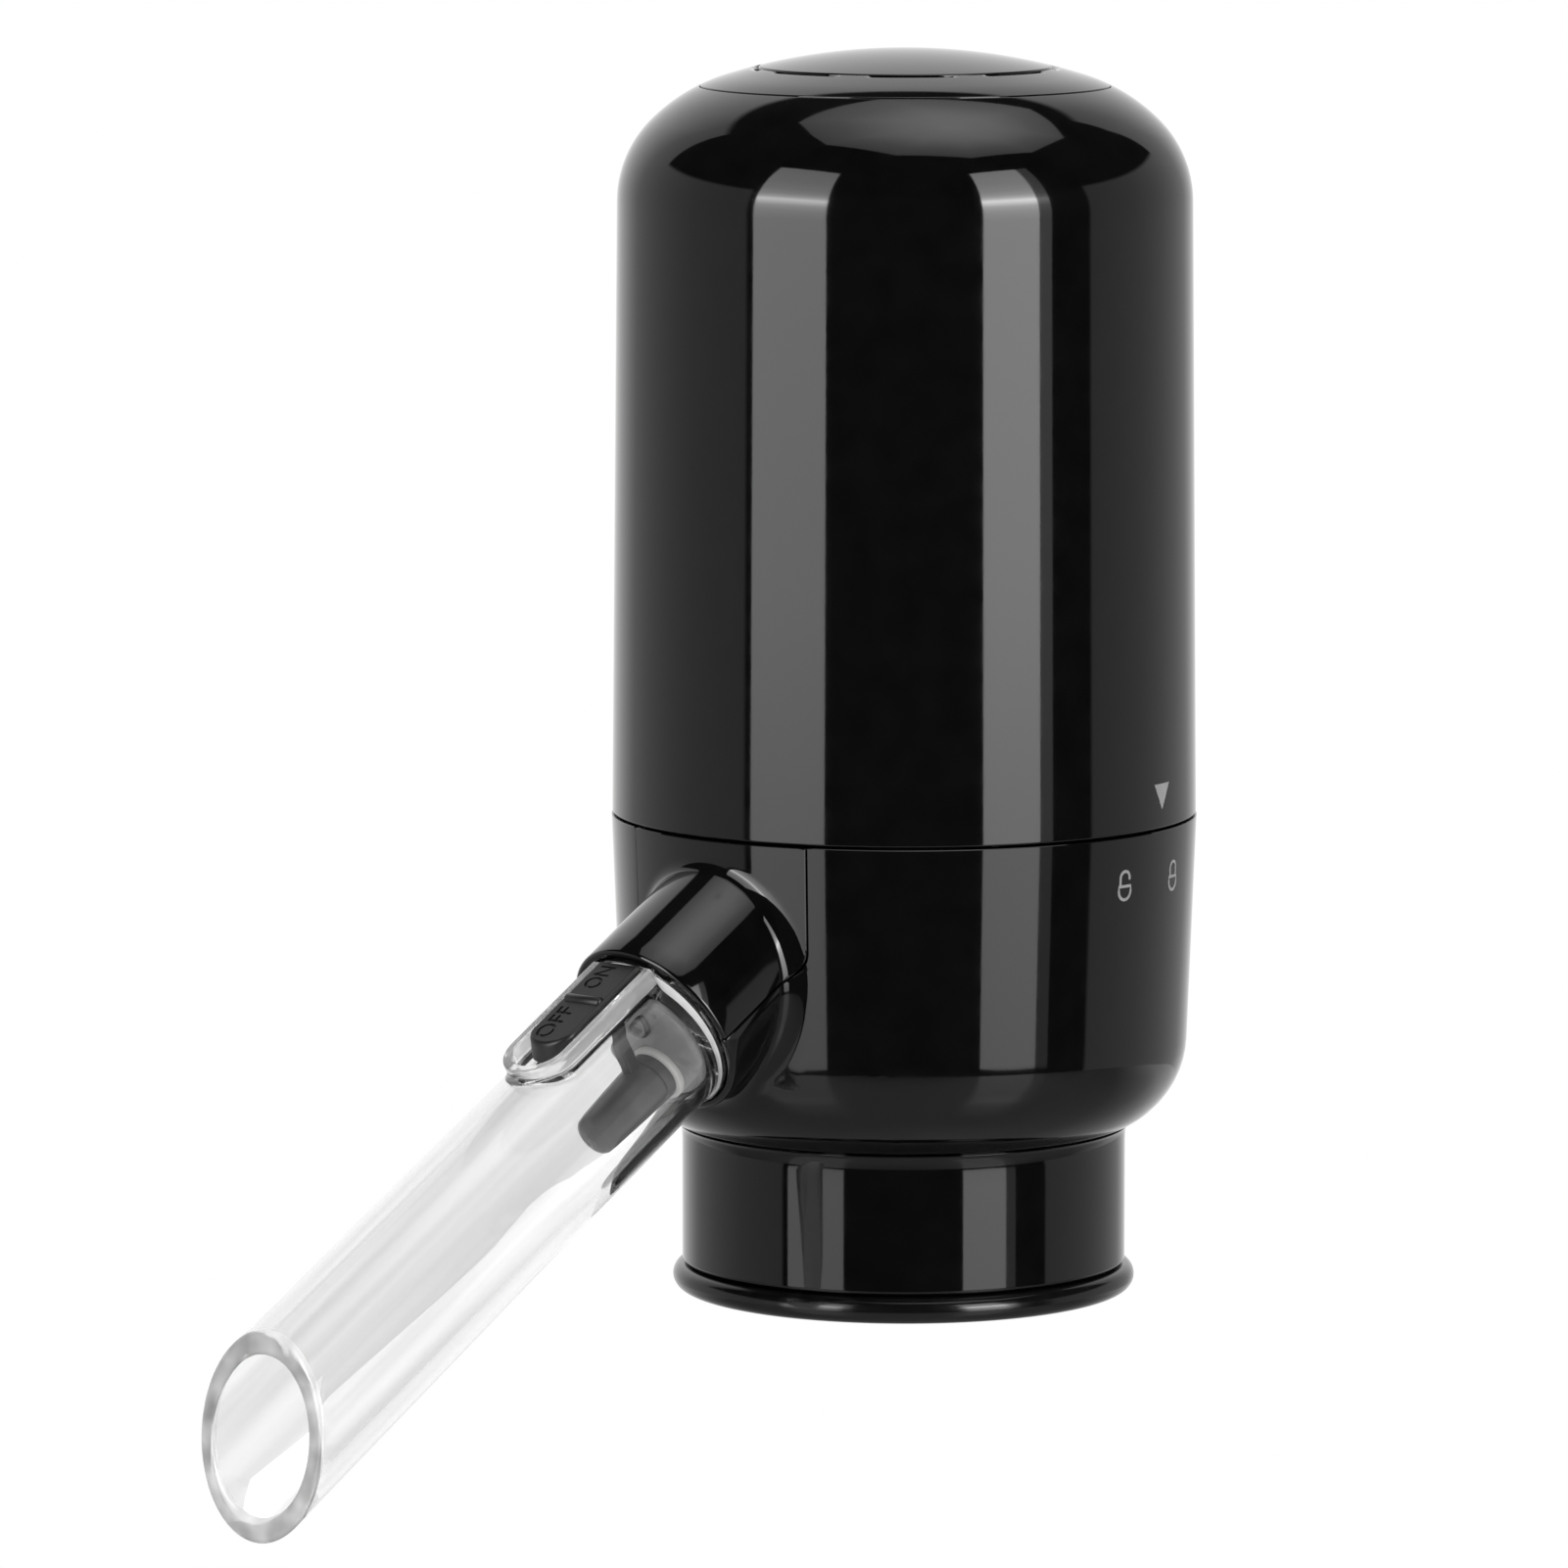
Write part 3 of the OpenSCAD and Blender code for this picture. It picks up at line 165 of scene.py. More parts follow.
def finish(name, dark, light, rough, grain, relief=0.0, metal=0.0):
    """A surface with two close shades, a range of roughness and a fine relief in millimetres."""
    tree, shader = new_material(name)
    shades = tuple(zip(NOISE_SPAN, (dark, light)))
    plug(tree, shader, {"Metallic": metal, **surface(tree, noise(tree, grain), shades, rough)})
    if relief:
        plug(tree, shader, {"Normal": bump(tree, noise(tree, grain * RELIEF_FINER), relief)})


finish("gloss_black", grey(0.0024), grey(0.0036), (0.04, 0.065), 260, 0.0008)
finish("satin_black", grey(0.007), grey(0.010), (0.34, 0.42), 1500, 0.004)
finish("seal_black", grey(0.004), grey(0.006), (0.13, 0.19), 500, 0.002)
finish("inner_black", grey(0.013), grey(0.020), (0.40, 0.52), 500, 0.015)
finish("inner_rubber", grey(0.012), grey(0.018), (0.50, 0.62), 450, 0.015)
finish("white_nylon", (0.70, 0.69, 0.66), (0.76, 0.75, 0.72), (0.38, 0.48), 400, 0.010)
finish("silicone", (0.72, 0.72, 0.70), (0.79, 0.79, 0.77), (0.42, 0.55), 350, 0.008)
finish("steel", (0.55, 0.56, 0.58), (0.66, 0.67, 0.69), (0.22, 0.34), 900, 0.004, metal=1.0)
finish("magnet", (0.05, 0.05, 0.055), (0.08, 0.08, 0.085), (0.45, 0.60), 800, 0.015)
finish("brass", (0.62, 0.47, 0.20), (0.72, 0.57, 0.28), (0.20, 0.32), 900, 0.004, metal=1.0)
finish("winding", (0.42, 0.16, 0.06), (0.55, 0.24, 0.10), (0.25, 0.40), 1500, 0.02, metal=1.0)
finish("cell_sleeve", (0.05, 0.10, 0.16), (0.07, 0.13, 0.20), (0.25, 0.35), 300, 0.006)
finish("board_green", (0.012, 0.085, 0.035), (0.02, 0.12, 0.05), (0.30, 0.45), 600, 0.006)
finish("wire_red", (0.42, 0.02, 0.015), (0.52, 0.035, 0.025), (0.35, 0.45), 700, 0.008)
finish("smoky_grey", grey(0.045), grey(0.075), (0.16, 0.28), 300, 0.004)
finish("cup_grey", grey(0.24), grey(0.32), (0.25, 0.40), 300, 0.006)
finish("print_grey", grey(0.30), grey(0.36), (0.45, 0.55), 900)


def clear_plastic(name, clear, rough):
    """Clear moulded acrylic: the faint streaks of the mould run along the spout."""
    tree, shader = new_material(name)
    streaks = noise(tree, 400, detail=1.0, stretch=24)
    tints = greys(((0.3, 0.76), (0.5, 0.88), (0.7, 0.95)))
    plug(tree, shader, surface(tree, streaks, tints, rough))
    plug(tree, shader, {"Normal": bump(tree, streaks, STREAK_RELIEF)})
    plug(tree, shader, {"Transmission Weight": clear, "IOR": ACRYLIC_IOR})
    return tree, shader


def cut_plastic(name):
    """The sawn and half polished end of the tube: clear in spots."""
    tree, shader = clear_plastic(name, 0.5, (0.04, 0.12))
    spots = noise(tree, 260, detail=1.0)
    plug(tree, shader, {"Transmission Weight": scaled(tree, spots, NOISE_SPAN, (0.18, 0.62))})


clear_plastic("clear_acrylic", 0.997, (0.0, 0.02))
# The rim's finish is three tenths white: painted brightness that stands in for light caught in the clear
# rim
clear_plastic("edge_acrylic", 0.7, (0.01, 0.05))
clear_plastic("frosted_acrylic", 0.08, (0.3, 0.5))
cut_plastic("cut_acrylic")

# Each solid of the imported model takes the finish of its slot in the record
slots = {part["node"]: part["material_slot"] for part in frame["record"]["subparts"]}
for name, node in frame["nodes"].items():
    node.data.materials.clear()
    node.data.materials.append(LOOKS[slots[name]])


# Mesh helpers

TURN_STEPS = 240


def held(value):
    """The value, held between 0 and 1."""
    return min(1.0, max(0.0, value))


def between(a, b, share):
    """The place that lies a share of the way from a to b."""
    return tuple(p + (q - p) * share for p, q in zip(a, b))


def solve(value, target, low, high):
    """Where a rising function reaches the target."""
    for _ in range(44):
        middle = (low + high) / 2
        if value(middle) < target:
            low = middle
        else:
            high = middle
    return low


def circle(steps):
    """Angles of a full turn."""
    return np.linspace(0, math.tau, steps, endpoint=False)


def arc(centre, radius, start, end, steps=16):
    """Points of an arc between two angles in degrees."""
    turns = np.radians(np.linspace(start, end, steps + 1))
    return [(centre[0] + radius * math.cos(a), centre[1] + radius * math.sin(a)) for a in turns]


def rounded(corners, steps=5, hold=0.3):
    """A closed outline in which a corner given as (x, y, radius) is rounded. A point before and after each
    rounding keeps its shading off the flat beside it."""
    outline = []
    for i, (x, y, *radius) in enumerate(corners):
        here = Vector((x, y))
        if not radius:
            outline.append(here)
            continue
        back = (Vector(corners[i - 1][:2]) - here).normalized()
        ahead = (Vector(corners[(i + 1) % len(corners)][:2]) - here).normalized()
        half = back.angle(ahead) / 2
        reach = radius[0] / math.tan(half)
        centre = here + (back + ahead).normalized() * radius[0] / math.sin(half)
        first = here + back * reach - centre
        last = here + ahead * reach - centre
        start = math.atan2(first.y, first.x)
        sweep = (math.atan2(last.y, last.x) - start + math.pi) % math.tau - math.pi
        turns = [start + sweep * k / steps for k in range(steps + 1)]
        outline.append(here + back * reach * (1 + hold))
        outline += [centre + radius[0] * Vector((math.cos(a), math.sin(a))) for a in turns]
        outline.append(here + ahead * reach * (1 + hold))
    return outline


def short_sides(outline, longest=2.0):
    """The closed outline with its long sides cut into shorter ones."""
    cut = []
    for a, b in zip(outline, outline[1:] + outline[:1]):
        count = max(1, math.ceil((b - a).length / longest))
        cut += [a.lerp(b, k / count) for k in range(count)]
    return cut


def strip(first, second, closed=True):
    """Faces between two rows of points. A row may be one point over and over."""
    faces = []
    for i in range(len(first) if closed else len(first) - 1):
        j = (i + 1) % len(first)
        corners = list(dict.fromkeys((first[i], first[j], second[j], second[i])))
        if len(corners) > 2:
            faces.append(corners)
    return faces


def strips(rows, closed=True):
    """Faces between each row of points and the next."""
    return [face for first, second in zip(rows, rows[1:]) for face in strip(first, second, closed)]


def loop_solid(loops, ring=False):
    """Points and faces of a solid through closed loops of the same number of points. In a ring the last
    loop joins the first."""
    count = len(loops[0])
    points = [place for loop in loops for place in loop]
    rows = [list(range(k * count, (k + 1) * count)) for k in range(len(loops))]
    if ring:
        return points, strips(rows + rows[:1])
    return points, strips(rows) + [rows[0][::-1], rows[-1]]


def revolve(corners, shape=None):
    """Points and faces of a closed (radius, height) outline turned about the part's axis. shape may change
    the height of a point from its angle, radius and height."""
    points = []
    rings = []
    for radius, height in short_sides(rounded(corners)):
        if radius < 1e-6:
            rings.append([len(points)] * TURN_STEPS)
            points.append((0, 0, height))
            continue
        rings.append(list(range(len(points), len(points) + TURN_STEPS)))
        for turn in circle(TURN_STEPS):
            top = shape(turn, radius, height) if shape else height
            points.append((radius * math.sin(turn), -radius * math.cos(turn), top))
    return points, strips(rings + rings[:1])


def smooth(mesh, crease):
    """Smooth shading, with the edges sharper than an angle in degrees left hard."""
    mesh.shade_smooth()
    mesh.set_sharp_from_angle(angle=math.radians(crease))


def solid(name, points, faces, crease=40):
    """A closed mesh object with its faces turned outward."""
    mesh = bpy.data.meshes.new(name)
    mesh.from_pydata([Vector(point) * MM for point in points], [], faces)
    shape = bmesh.new()
    shape.from_mesh(mesh)
    bmesh.ops.recalc_face_normals(shape, faces=shape.faces)
    shape.to_mesh(mesh)
    shape.free()
    smooth(mesh, crease)
    obj = bpy.data.objects.new(name, mesh)
    bpy.context.collection.objects.link(obj)
    return obj


def dress(obj, body, slot, *nodes, look=None):
    """The object rides on a body, takes the finish of a slot or another look, and stands for CAD nodes."""
    obj.data.materials.clear()
    obj.data.materials.append(LOOKS[look or slot])
    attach(obj, body)
    if nodes:
        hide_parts(*nodes)


# Turned pieces: the outlines follow the part's source

BODY_R = 35.985
SEAM_Z = 59.1
WALL = 2.0
UPPER_R = 35.9
UPPER_LOW = 59.4
UPPER_LEAN = 0.7 / 75
SHOULDER = (21.2, 134.3)
SHOULDER_R = 14.0
SHOULDER_START = 0.53
CROWN_START = 45
CROWN = (15.543, 128.643)
CROWN_R = 22.0
CROWN_END = 73
CROWN_END_R = 21.975
DOME_Z = 77.806
DOME_R = 75.16
CAP_R = 25.05
CAP_SEAT = 146.68
CAP_LOW = 146.72
LEDGE_R = 20.5
PARTING = 0.06
PARTING_EDGE = 0.14


def crown_angle(radius):
    return math.degrees(math.acos((radius - CROWN[0]) / CROWN_R))


def dome_z(radius, drop=0.0):
    """Height of the dome's top, or of a ball inside it."""
    return DOME_Z + math.sqrt((DOME_R - drop) ** 2 - radius ** 2)


def dome(outer, inner, drop=0.0, steps=6):
    """The dome's outline from one radius to another."""
    return [(r, dome_z(r, drop)) for r in np.linspace(outer, inner, steps + 1)]


def upper_shell():
    edge_r = CAP_R + PARTING
    ledge_low = CAP_SEAT - WALL
    inner_start = math.degrees(math.asin((ledge_low - CROWN[1]) / (CROWN_R - WALL)))
    crown = arc(CROWN, CROWN_R, CROWN_START, crown_angle(edge_r))
    outline = [(UPPER_R - WALL, UPPER_LOW), (UPPER_R, UPPER_LOW, 0.22)]
    outline += arc(SHOULDER, SHOULDER_R, SHOULDER_START, CROWN_START, 40)[:-1]
    outline += crown[:-1]
    outline += [(*crown[-1], PARTING_EDGE), (edge_r, CAP_SEAT), (LEDGE_R, CAP_SEAT), (LEDGE_R, ledge_low)]
    outline += arc(CROWN, CROWN_R - WALL, inner_start, CROWN_START, 8)[:-1]
    outline += arc(SHOULDER, SHOULDER_R - WALL, CROWN_START, SHOULDER_START)
    return revolve(outline)


BUTTON_R = 17.9
BUTTON_LOW = 146.6
BUTTON_WALL = 1.4
BUTTON_TOP_T = 1.8
BUTTON_EDGE = 0.3
BUTTON_HOLE_R = 18.3
GUIDE_LOW = 141.98
GUIDE_T = 1.5
LIP_W = 0.9
LIP_DROP = 0.42
LIP_LOW = 149
STOP_PITCH = math.radians(45)
STOP_HALF = math.radians(7.6)
STOP_SLOPE = math.radians(1.2)


def stop_at(turn):
    """1 on the eight stops around the button's opening, 0 between them."""
    off = abs(turn % STOP_PITCH - STOP_PITCH / 2)
    return held((STOP_HALF - off) / STOP_SLOPE)


def cap_edge(turn, radius, height):
    """The ring's inner edge falls away between the stops."""
    if height < LIP_LOW:
        return height
    lip = held((BUTTON_HOLE_R + LIP_W - radius) / LIP_W)
    return height - LIP_DROP * lip * lip * (1 - stop_at(turn))


def top_cap():
    edge_r = CAP_R - PARTING
    guide_r = BUTTON_HOLE_R + GUIDE_T
    crown = arc(CROWN, CROWN_R, crown_angle(edge_r), CROWN_END, 6)
    outline = [(edge_r, CAP_LOW), (*crown[0], PARTING_EDGE)] + crown[1:]
    outline += dome(CROWN_END_R, BUTTON_HOLE_R + LIP_W + 0.1)[1:]
    outline += dome(BUTTON_HOLE_R + LIP_W, BUTTON_HOLE_R + 0.15)
    outline += [(BUTTON_HOLE_R, dome_z(BUTTON_HOLE_R), 0.1), (BUTTON_HOLE_R, GUIDE_LOW)]
    outline += [(guide_r, GUIDE_LOW), (guide_r, CAP_LOW)]
    return revolve(outline, cap_edge)


def power_button():
    inner_r = BUTTON_R - BUTTON_WALL
    outline = [(BUTTON_R, BUTTON_LOW), (BUTTON_R, dome_z(BUTTON_R), BUTTON_EDGE)]
    outline += dome(BUTTON_R - 2 * BUTTON_EDGE, 0, steps=30)
    outline += dome(0, inner_r, drop=BUTTON_TOP_T, steps=10) + [(inner_r, BUTTON_LOW)]
    return revolve(outline)


SPRING_Z = (132.6, 148.94)
SPRING_R = 5.4
SPRING_WIRE = 0.35
SPRING_TURNS = 6


def button_spring():
    """A coil from the board up to the button."""
    rise = SPRING_Z[1] - SPRING_Z[0] - 2 * SPRING_WIRE
    loops = []
    for share in np.linspace(0, 1, 24 * SPRING_TURNS + 1):
        turn = math.tau * SPRING_TURNS * share
        middle = SPRING_Z[0] + SPRING_WIRE + rise * share
        wire = arc((SPRING_R, middle), SPRING_WIRE, 0, 330, 11)
        loops.append([(r * math.cos(turn), r * math.sin(turn), z) for r, z in wire])
    return loop_solid(loops)


COLLAR_R = 27.35
COLLAR_BORE_R = 24.6
COLLAR_HOLE_R = 15.4
COLLAR_LOW = 3.45
COLLAR_TOP = 23.44
COLLAR_PLATE_LOW = 18.44
COLLAR_SPIGOT = (26.6, 20.641)
COLLAR_FLARE = [(27.35, 18.4), (27.36, 18.9), (27.40, 19.5), (27.47, 20.1), (27.62, 20.42),
                (27.86, 20.62, 0.05)]


def neck_collar():
    outline = [(COLLAR_BORE_R, COLLAR_LOW), (COLLAR_R, COLLAR_LOW, 0.45)] + COLLAR_FLARE
    outline += [COLLAR_SPIGOT, (COLLAR_SPIGOT[0], COLLAR_TOP), (COLLAR_HOLE_R, COLLAR_TOP)]
    outline += [(COLLAR_HOLE_R, COLLAR_PLATE_LOW), (COLLAR_BORE_R, COLLAR_PLATE_LOW)]
    return revolve(outline)


SEAL_R = 24.5
SEAL_BORE_R = 14.9
SEAL_TOP = 18.241
SEAL_FLANGE_TOP = 3.25
BEAD_AT = 26.87
BEAD_R = 1.63


def bottle_seal():
    outline = [(SEAL_BORE_R, SEAL_TOP, 0.5), (SEAL_BORE_R, 0.0, 0.8)]
    outline += arc((BEAD_AT, BEAD_R), BEAD_R, -90, 74, 22)
    outline += [(25.6, SEAL_FLANGE_TOP), (SEAL_R, SEAL_FLANGE_TOP), (SEAL_R, SEAL_TOP, 0.3)]
    return revolve(outline)


dress(solid("shell_upper", *upper_shell()), "power_unit", "gloss_black", "upper_shell")
dress(solid("cap_ring", *top_cap()), "power_unit", "gloss_black", "top_cap")
dress(solid("button_dome", *power_button()), "button", "gloss_black", "power_button")
coil = solid("spring_coil", *button_spring())
dress(coil, "button", "steel", "button_spring")
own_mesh(coil)
dress(solid("collar_ring", *neck_collar()), "pouring_head", "gloss_black", "neck_collar")
dress(solid("seal_ring", *bottle_seal()), "pouring_head", "seal_black", "bottle_seal")


# Lower housing: a wall with the blended spout socket, cut into the shell and its front panel

SPOUT_ORIGIN = np.array((0.0, -BODY_R, 40.8))
SPOUT_SIDE = np.array((1.0, 0.0, 0.0))
SPOUT_UP = np.array((0.0, -math.sin(SPOUT_DECLINE), math.cos(SPOUT_DECLINE)))
SPOUT_AXIS = np.array((0.0, -math.cos(SPOUT_DECLINE), -math.sin(SPOUT_DECLINE)))
FOOT = (22.9, 31.75)
FOOT_R = 12.0
FOOT_TANGENT = (34.89, 31.27)
FOOT_END = -65.376
FLOOR_TOP = 23.24
NECK_HOLE_R = 26.8
SOCKET_R = 11.9
SOCKET_BORE_R = 10.9
SOCKET_RISE = 1.0
SOCKET_END = 9.5
SLEEVE_BACK = -9.5
MOUTH_R = 0.5
MOUTH_BEVEL = 0.15
FILLET_TOP = 1.1
FILLET_LOW = 3.4
PANEL_HALF = 23.2
PANEL_CORNER_R = 1.8
PANEL_GAP = 0.2
EDGE_DROP = 0.09
FAR_RHO = 40
# Rays beyond the first angle from the top meet the panel's side, and rays before the second its top
SIDE_FROM = 20
TOP_UNTIL = 70


def spout_point(x, up, s):
    """A place in the spout's frame: sideways, up and along its axis."""
    return SPOUT_ORIGIN + x * SPOUT_SIDE + up * SPOUT_UP + s * SPOUT_AXIS


def lower_radius(z, inset=0.0):
    """Radius of the lower housing at a height, or of its inner face."""
    if z > FOOT_TANGENT[1]:
        slope = (BODY_R - FOOT_TANGENT[0]) / (SEAM_Z - FOOT_TANGENT[1])
        return BODY_R + (z - SEAM_Z) * slope - inset
    ball = FOOT_R - inset
    return FOOT[0] + math.sqrt(max(0.0, ball * ball - (z - FOOT[1]) ** 2))


def housing_s(x, up, inset=0.0):
    """How far along the spout's axis a line parallel to it leaves the plain housing."""
    def outside(s):
        place = spout_point(x, up, s)
        return math.hypot(place[0], place[1]) - lower_radius(place[2], inset)

    return solve(outside, 0.0, -30.0, 30.0)


def fillet_at(phi):
    """Radius of the blend around the socket. phi runs from the socket's top, towards +X."""
    return FILLET_TOP + (FILLET_LOW - FILLET_TOP) * (1 - math.cos(math.radians(phi))) / 2


def around_socket(rho, phi):
    """(sideways, up) at a distance and angle from the socket's axis."""
    turn = math.radians(phi)
    return rho * math.sin(turn), SOCKET_RISE + rho * math.cos(turn)


def plain_spot(rho, phi):
    """(angle, height) on the plain housing in line with a place around the socket."""
    x, up = around_socket(rho, phi)
    place = spout_point(x, up, housing_s(x, up))
    return math.degrees(math.atan2(place[0], -place[1])), place[2]


def skin(angle, z):
    """Outer and inner point of the wall, with the blend to the socket."""
    turn = math.radians(angle)
    level = np.array((math.sin(turn), -math.cos(turn), 0.0))
    outer = level * lower_radius(z) + (0, 0, z)
    low = max(z, FLOOR_TOP)
    inner = level * lower_radius(low, WALL) + (0, 0, low)
    if outer[1] < 0:
        x = outer[0]
        up = float((outer - SPOUT_ORIGIN) @ SPOUT_UP) - SOCKET_RISE
        blend = fillet_at(math.degrees(math.atan2(x, up)))
        near = held((SOCKET_R + blend - math.hypot(x, up)) / blend)
        outer = outer + SPOUT_AXIS * blend * (1 - math.sqrt(1 - near * near))
    return outer, inner


def socket_levels(phi):
    """Outer and inner points from the end of the blend out to the socket's mouth."""
    x, up = around_socket(SOCKET_R, phi)
    start = housing_s(x, up) + fillet_at(phi)
    inside = housing_s(x, up, WALL)
    outer = [(SOCKET_R, s) for s in np.linspace(start, SOCKET_END - MOUTH_R, 7)[1:]]
    outer += arc((SOCKET_R - MOUTH_R, SOCKET_END - MOUTH_R), MOUTH_R, 0, 90, 4)[1:]
    inner = [(SOCKET_R, (inside + SLEEVE_BACK) / 2), (SOCKET_R, SLEEVE_BACK), (SOCKET_BORE_R, SLEEVE_BACK)]
    inner += [(SOCKET_BORE_R, s) for s in (-5, -1, 2.5, 5.5, 8)]
    inner += [(SOCKET_BORE_R, SOCKET_END - MOUTH_BEVEL), (SOCKET_BORE_R + MOUTH_BEVEL, SOCKET_END)]
    places = [[spout_point(*around_socket(rho, phi), s) for rho, s in side] for side in (outer, inner)]
    return list(zip(*places))


@cache
def side_rho(turn, half):
    """Distance from the socket's axis to the panel's side. half is the side's angle on the body."""
    return solve(lambda rho: plain_spot(rho, turn)[0], half, SOCKET_R, FAR_RHO)


def top_rho(turn):
    """Distance from the socket's axis to the panel's top."""
    return solve(lambda rho: plain_spot(rho, turn)[1], SEAM_Z, SOCKET_R, FAR_RHO)


def outline_rho(phi, half, rise):
    """Distance from the socket's axis to the panel's outline: top, side or rounded lower corner. rise is
    the height of the lower edge above the socket's axis."""
    turn = abs(phi)
    corner_x = side_rho(90, half) - PANEL_CORNER_R
    corner_up = rise + PANEL_CORNER_R
    if turn < math.degrees(math.atan2(corner_x + PANEL_CORNER_R, corner_up)):
        side = side_rho(turn, half) if turn > SIDE_FROM else FAR_RHO
        top = top_rho(turn) if turn < TOP_UNTIL else FAR_RHO
        return min(side, top)
    ray = (math.sin(math.radians(turn)), math.cos(math.radians(turn)))
    along = ray[0] * corner_x + ray[1] * corner_up
    room = along * along - corner_x ** 2 - corner_up ** 2 + PANEL_CORNER_R ** 2
    return along + math.sqrt(max(0.0, room))


class Wall:
    """A closed wall: outer and inner points in the same layout, joined along the free edges. A cut along a
    row of points is closed as one flat plate."""

    def __init__(self):
        self.outer = []
        self.inner = []
        self.quads = []
        self.plates = []
        self.soft = set()

    def add(self, pair, soft=False):
        self.outer.append(np.array(pair[0], float))
        self.inner.append(np.array(pair[1], float))
        if soft:
            self.soft.add(len(self.outer) - 1)
        return len(self.outer) - 1

    def sheet(self, rows, closed=False):
        self.quads += strips(rows, closed)

    def soften(self):
        """Drops the chosen free edges a little, so that they catch the light."""
        normals = [np.zeros(3) for _ in self.outer]
        for quad in self.quads:
            a, b, c = (self.outer[i] for i in (quad[0], quad[1], quad[-1]))
            normal = np.cross(b - a, c - a)
            for i in quad:
                normals[i] += normal
        for i in self.soft:
            normal = normals[i] / np.linalg.norm(normals[i])
            if normal @ (self.outer[i] - self.inner[i]) < 0:
                normal = -normal
            self.outer[i] = self.outer[i] - normal * EDGE_DROP

    def mesh(self):
        self.soften()
        count = len(self.outer)
        faces = self.quads + [[i + count for i in quad[::-1]] for quad in self.quads]
        plated = {frozenset(pair) for row in self.plates for pair in zip(row, row[1:])}
        uses = {}
        for quad in self.quads:
            for a, b in zip(quad, quad[1:] + quad[:1]):
                uses.setdefault(frozenset((a, b)), []).append((a, b))
        for edge, sides in uses.items():
            if len(sides) == 1 and edge not in plated:
                a, b = sides[0]
                faces.append([b, a, a + count, b + count])
        points = self.outer + self.inner
        for row in self.plates:
            loop = row + [i + count for i in reversed(row)]
            corners = [Vector(points[i]) for i in loop]
            faces += [[loop[i] for i in triangle] for triangle in tessellate_polygon([corners])]
        return points, faces


PATCH = 40.0
PATCH_LOW = 22.6
LOW_CORNER = 130
SHELL_START = 64.0
SHELL_HALF = PANEL_HALF + math.degrees(PANEL_GAP / 2 / BODY_R)
CORNER_RAYS = [72, 78, 81, 82.5, 84, 85.5, 87, 88.3, 89.2, 90, 90.6, 91.5]
NEAR_EDGE = (0.3, 0.12, 0.0)
SIDE_SHARES = [*np.linspace(0, 1, 14)[1:-1], 0.97, 0.988, 1]
FOOT_INSIDE = [(27.7, FLOOR_TOP), (27.2, FLOOR_TOP), (NECK_HOLE_R, FLOOR_TOP), (NECK_HOLE_R, 22.6),
               (NECK_HOLE_R, 22.0), (NECK_HOLE_R, 21.4), (NECK_HOLE_R, 20.9)]


def shell_front(wall, rays):
    """Rows of points along the rays around the socket: from the bound of the front patch to the panel's
    edge, or out to the socket's mouth."""
    start_z = plain_spot(outline_rho(SHELL_START, SHELL_HALF, 0), SHELL_START)[1]
    low_span = 180 - LOW_CORNER
    table = []
    for phi in rays:
        turn = abs(phi - 180)
        side = PATCH if phi <= 180 else -PATCH
        climb = max(0, turn - low_span) / (LOW_CORNER - SHELL_START)
        bound = (side * min(1, turn / low_span), PATCH_LOW + (start_z - PATCH_LOW) * climb)
        beside_panel = turn > 90
        edge = outline_rho(min(phi, 360 - phi) if beside_panel else 90, SHELL_HALF, 0)
        reach = max(SOCKET_R + fillet_at(phi), edge + 1.2)
        far = plain_spot(reach, phi)
        spots = [between(bound, far, k / 10) for k in range(10)]
        spots += [plain_spot(rho, phi) for rho in np.linspace(reach, edge + NEAR_EDGE[0], 11)]
        spots += [plain_spot(edge + gap, phi) for gap in NEAR_EDGE[1:]]
        row = [wall.add(skin(*spot)) for spot in spots]
        if beside_panel:
            wall.soft.add(row[-1])
        else:
            blend = [SOCKET_R + (edge - SOCKET_R) * (1 - k / 8) ** 2 for k in range(1, 9)]
            pairs = [skin(*plain_spot(rho, phi)) for rho in blend] + socket_levels(phi)
            row += [wall.add(pair, soft=turn == 90) for pair in pairs]
        table.append(row)
    return table


def shell_side(wall, first_row, panel_angle):
    """Lays the wall beside the panel, from the first ray up to the seam, and returns its far column."""
    rows = [first_row]
    for share in SIDE_SHARES:
        row = []
        for i in first_row:
            place = wall.outer[i]
            at_panel = i == first_row[-1]
            angle = panel_angle if at_panel else math.degrees(math.atan2(place[0], -place[1]))
            z = place[2] + (SEAM_Z - place[2]) * share
            row.append(wall.add(skin(angle, z), soft=at_panel or share == 1))
        rows.append(row)
    wall.sheet(rows)
    return [row[0] for row in rows[:0:-1]]


def shell_foot(wall, rim):
    """Rows of points from the rim under the foot to the hole for the neck."""
    start = -math.degrees(math.asin((FOOT[1] - PATCH_LOW) / FOOT_R))
    outside = arc(FOOT, FOOT_R, start, FOOT_END, len(FOOT_INSIDE))[1:]
    rows = []
    for (r, z), (inner_r, inner_z) in zip(outside, FOOT_INSIDE):
        row = []
        for i in rim:
            level = wall.outer[i] * (1, 1, 0)
            level = level / np.linalg.norm(level)
            row.append(wall.add((level * r + (0, 0, z), level * inner_r + (0, 0, inner_z))))
        rows.append(row)
    return rows


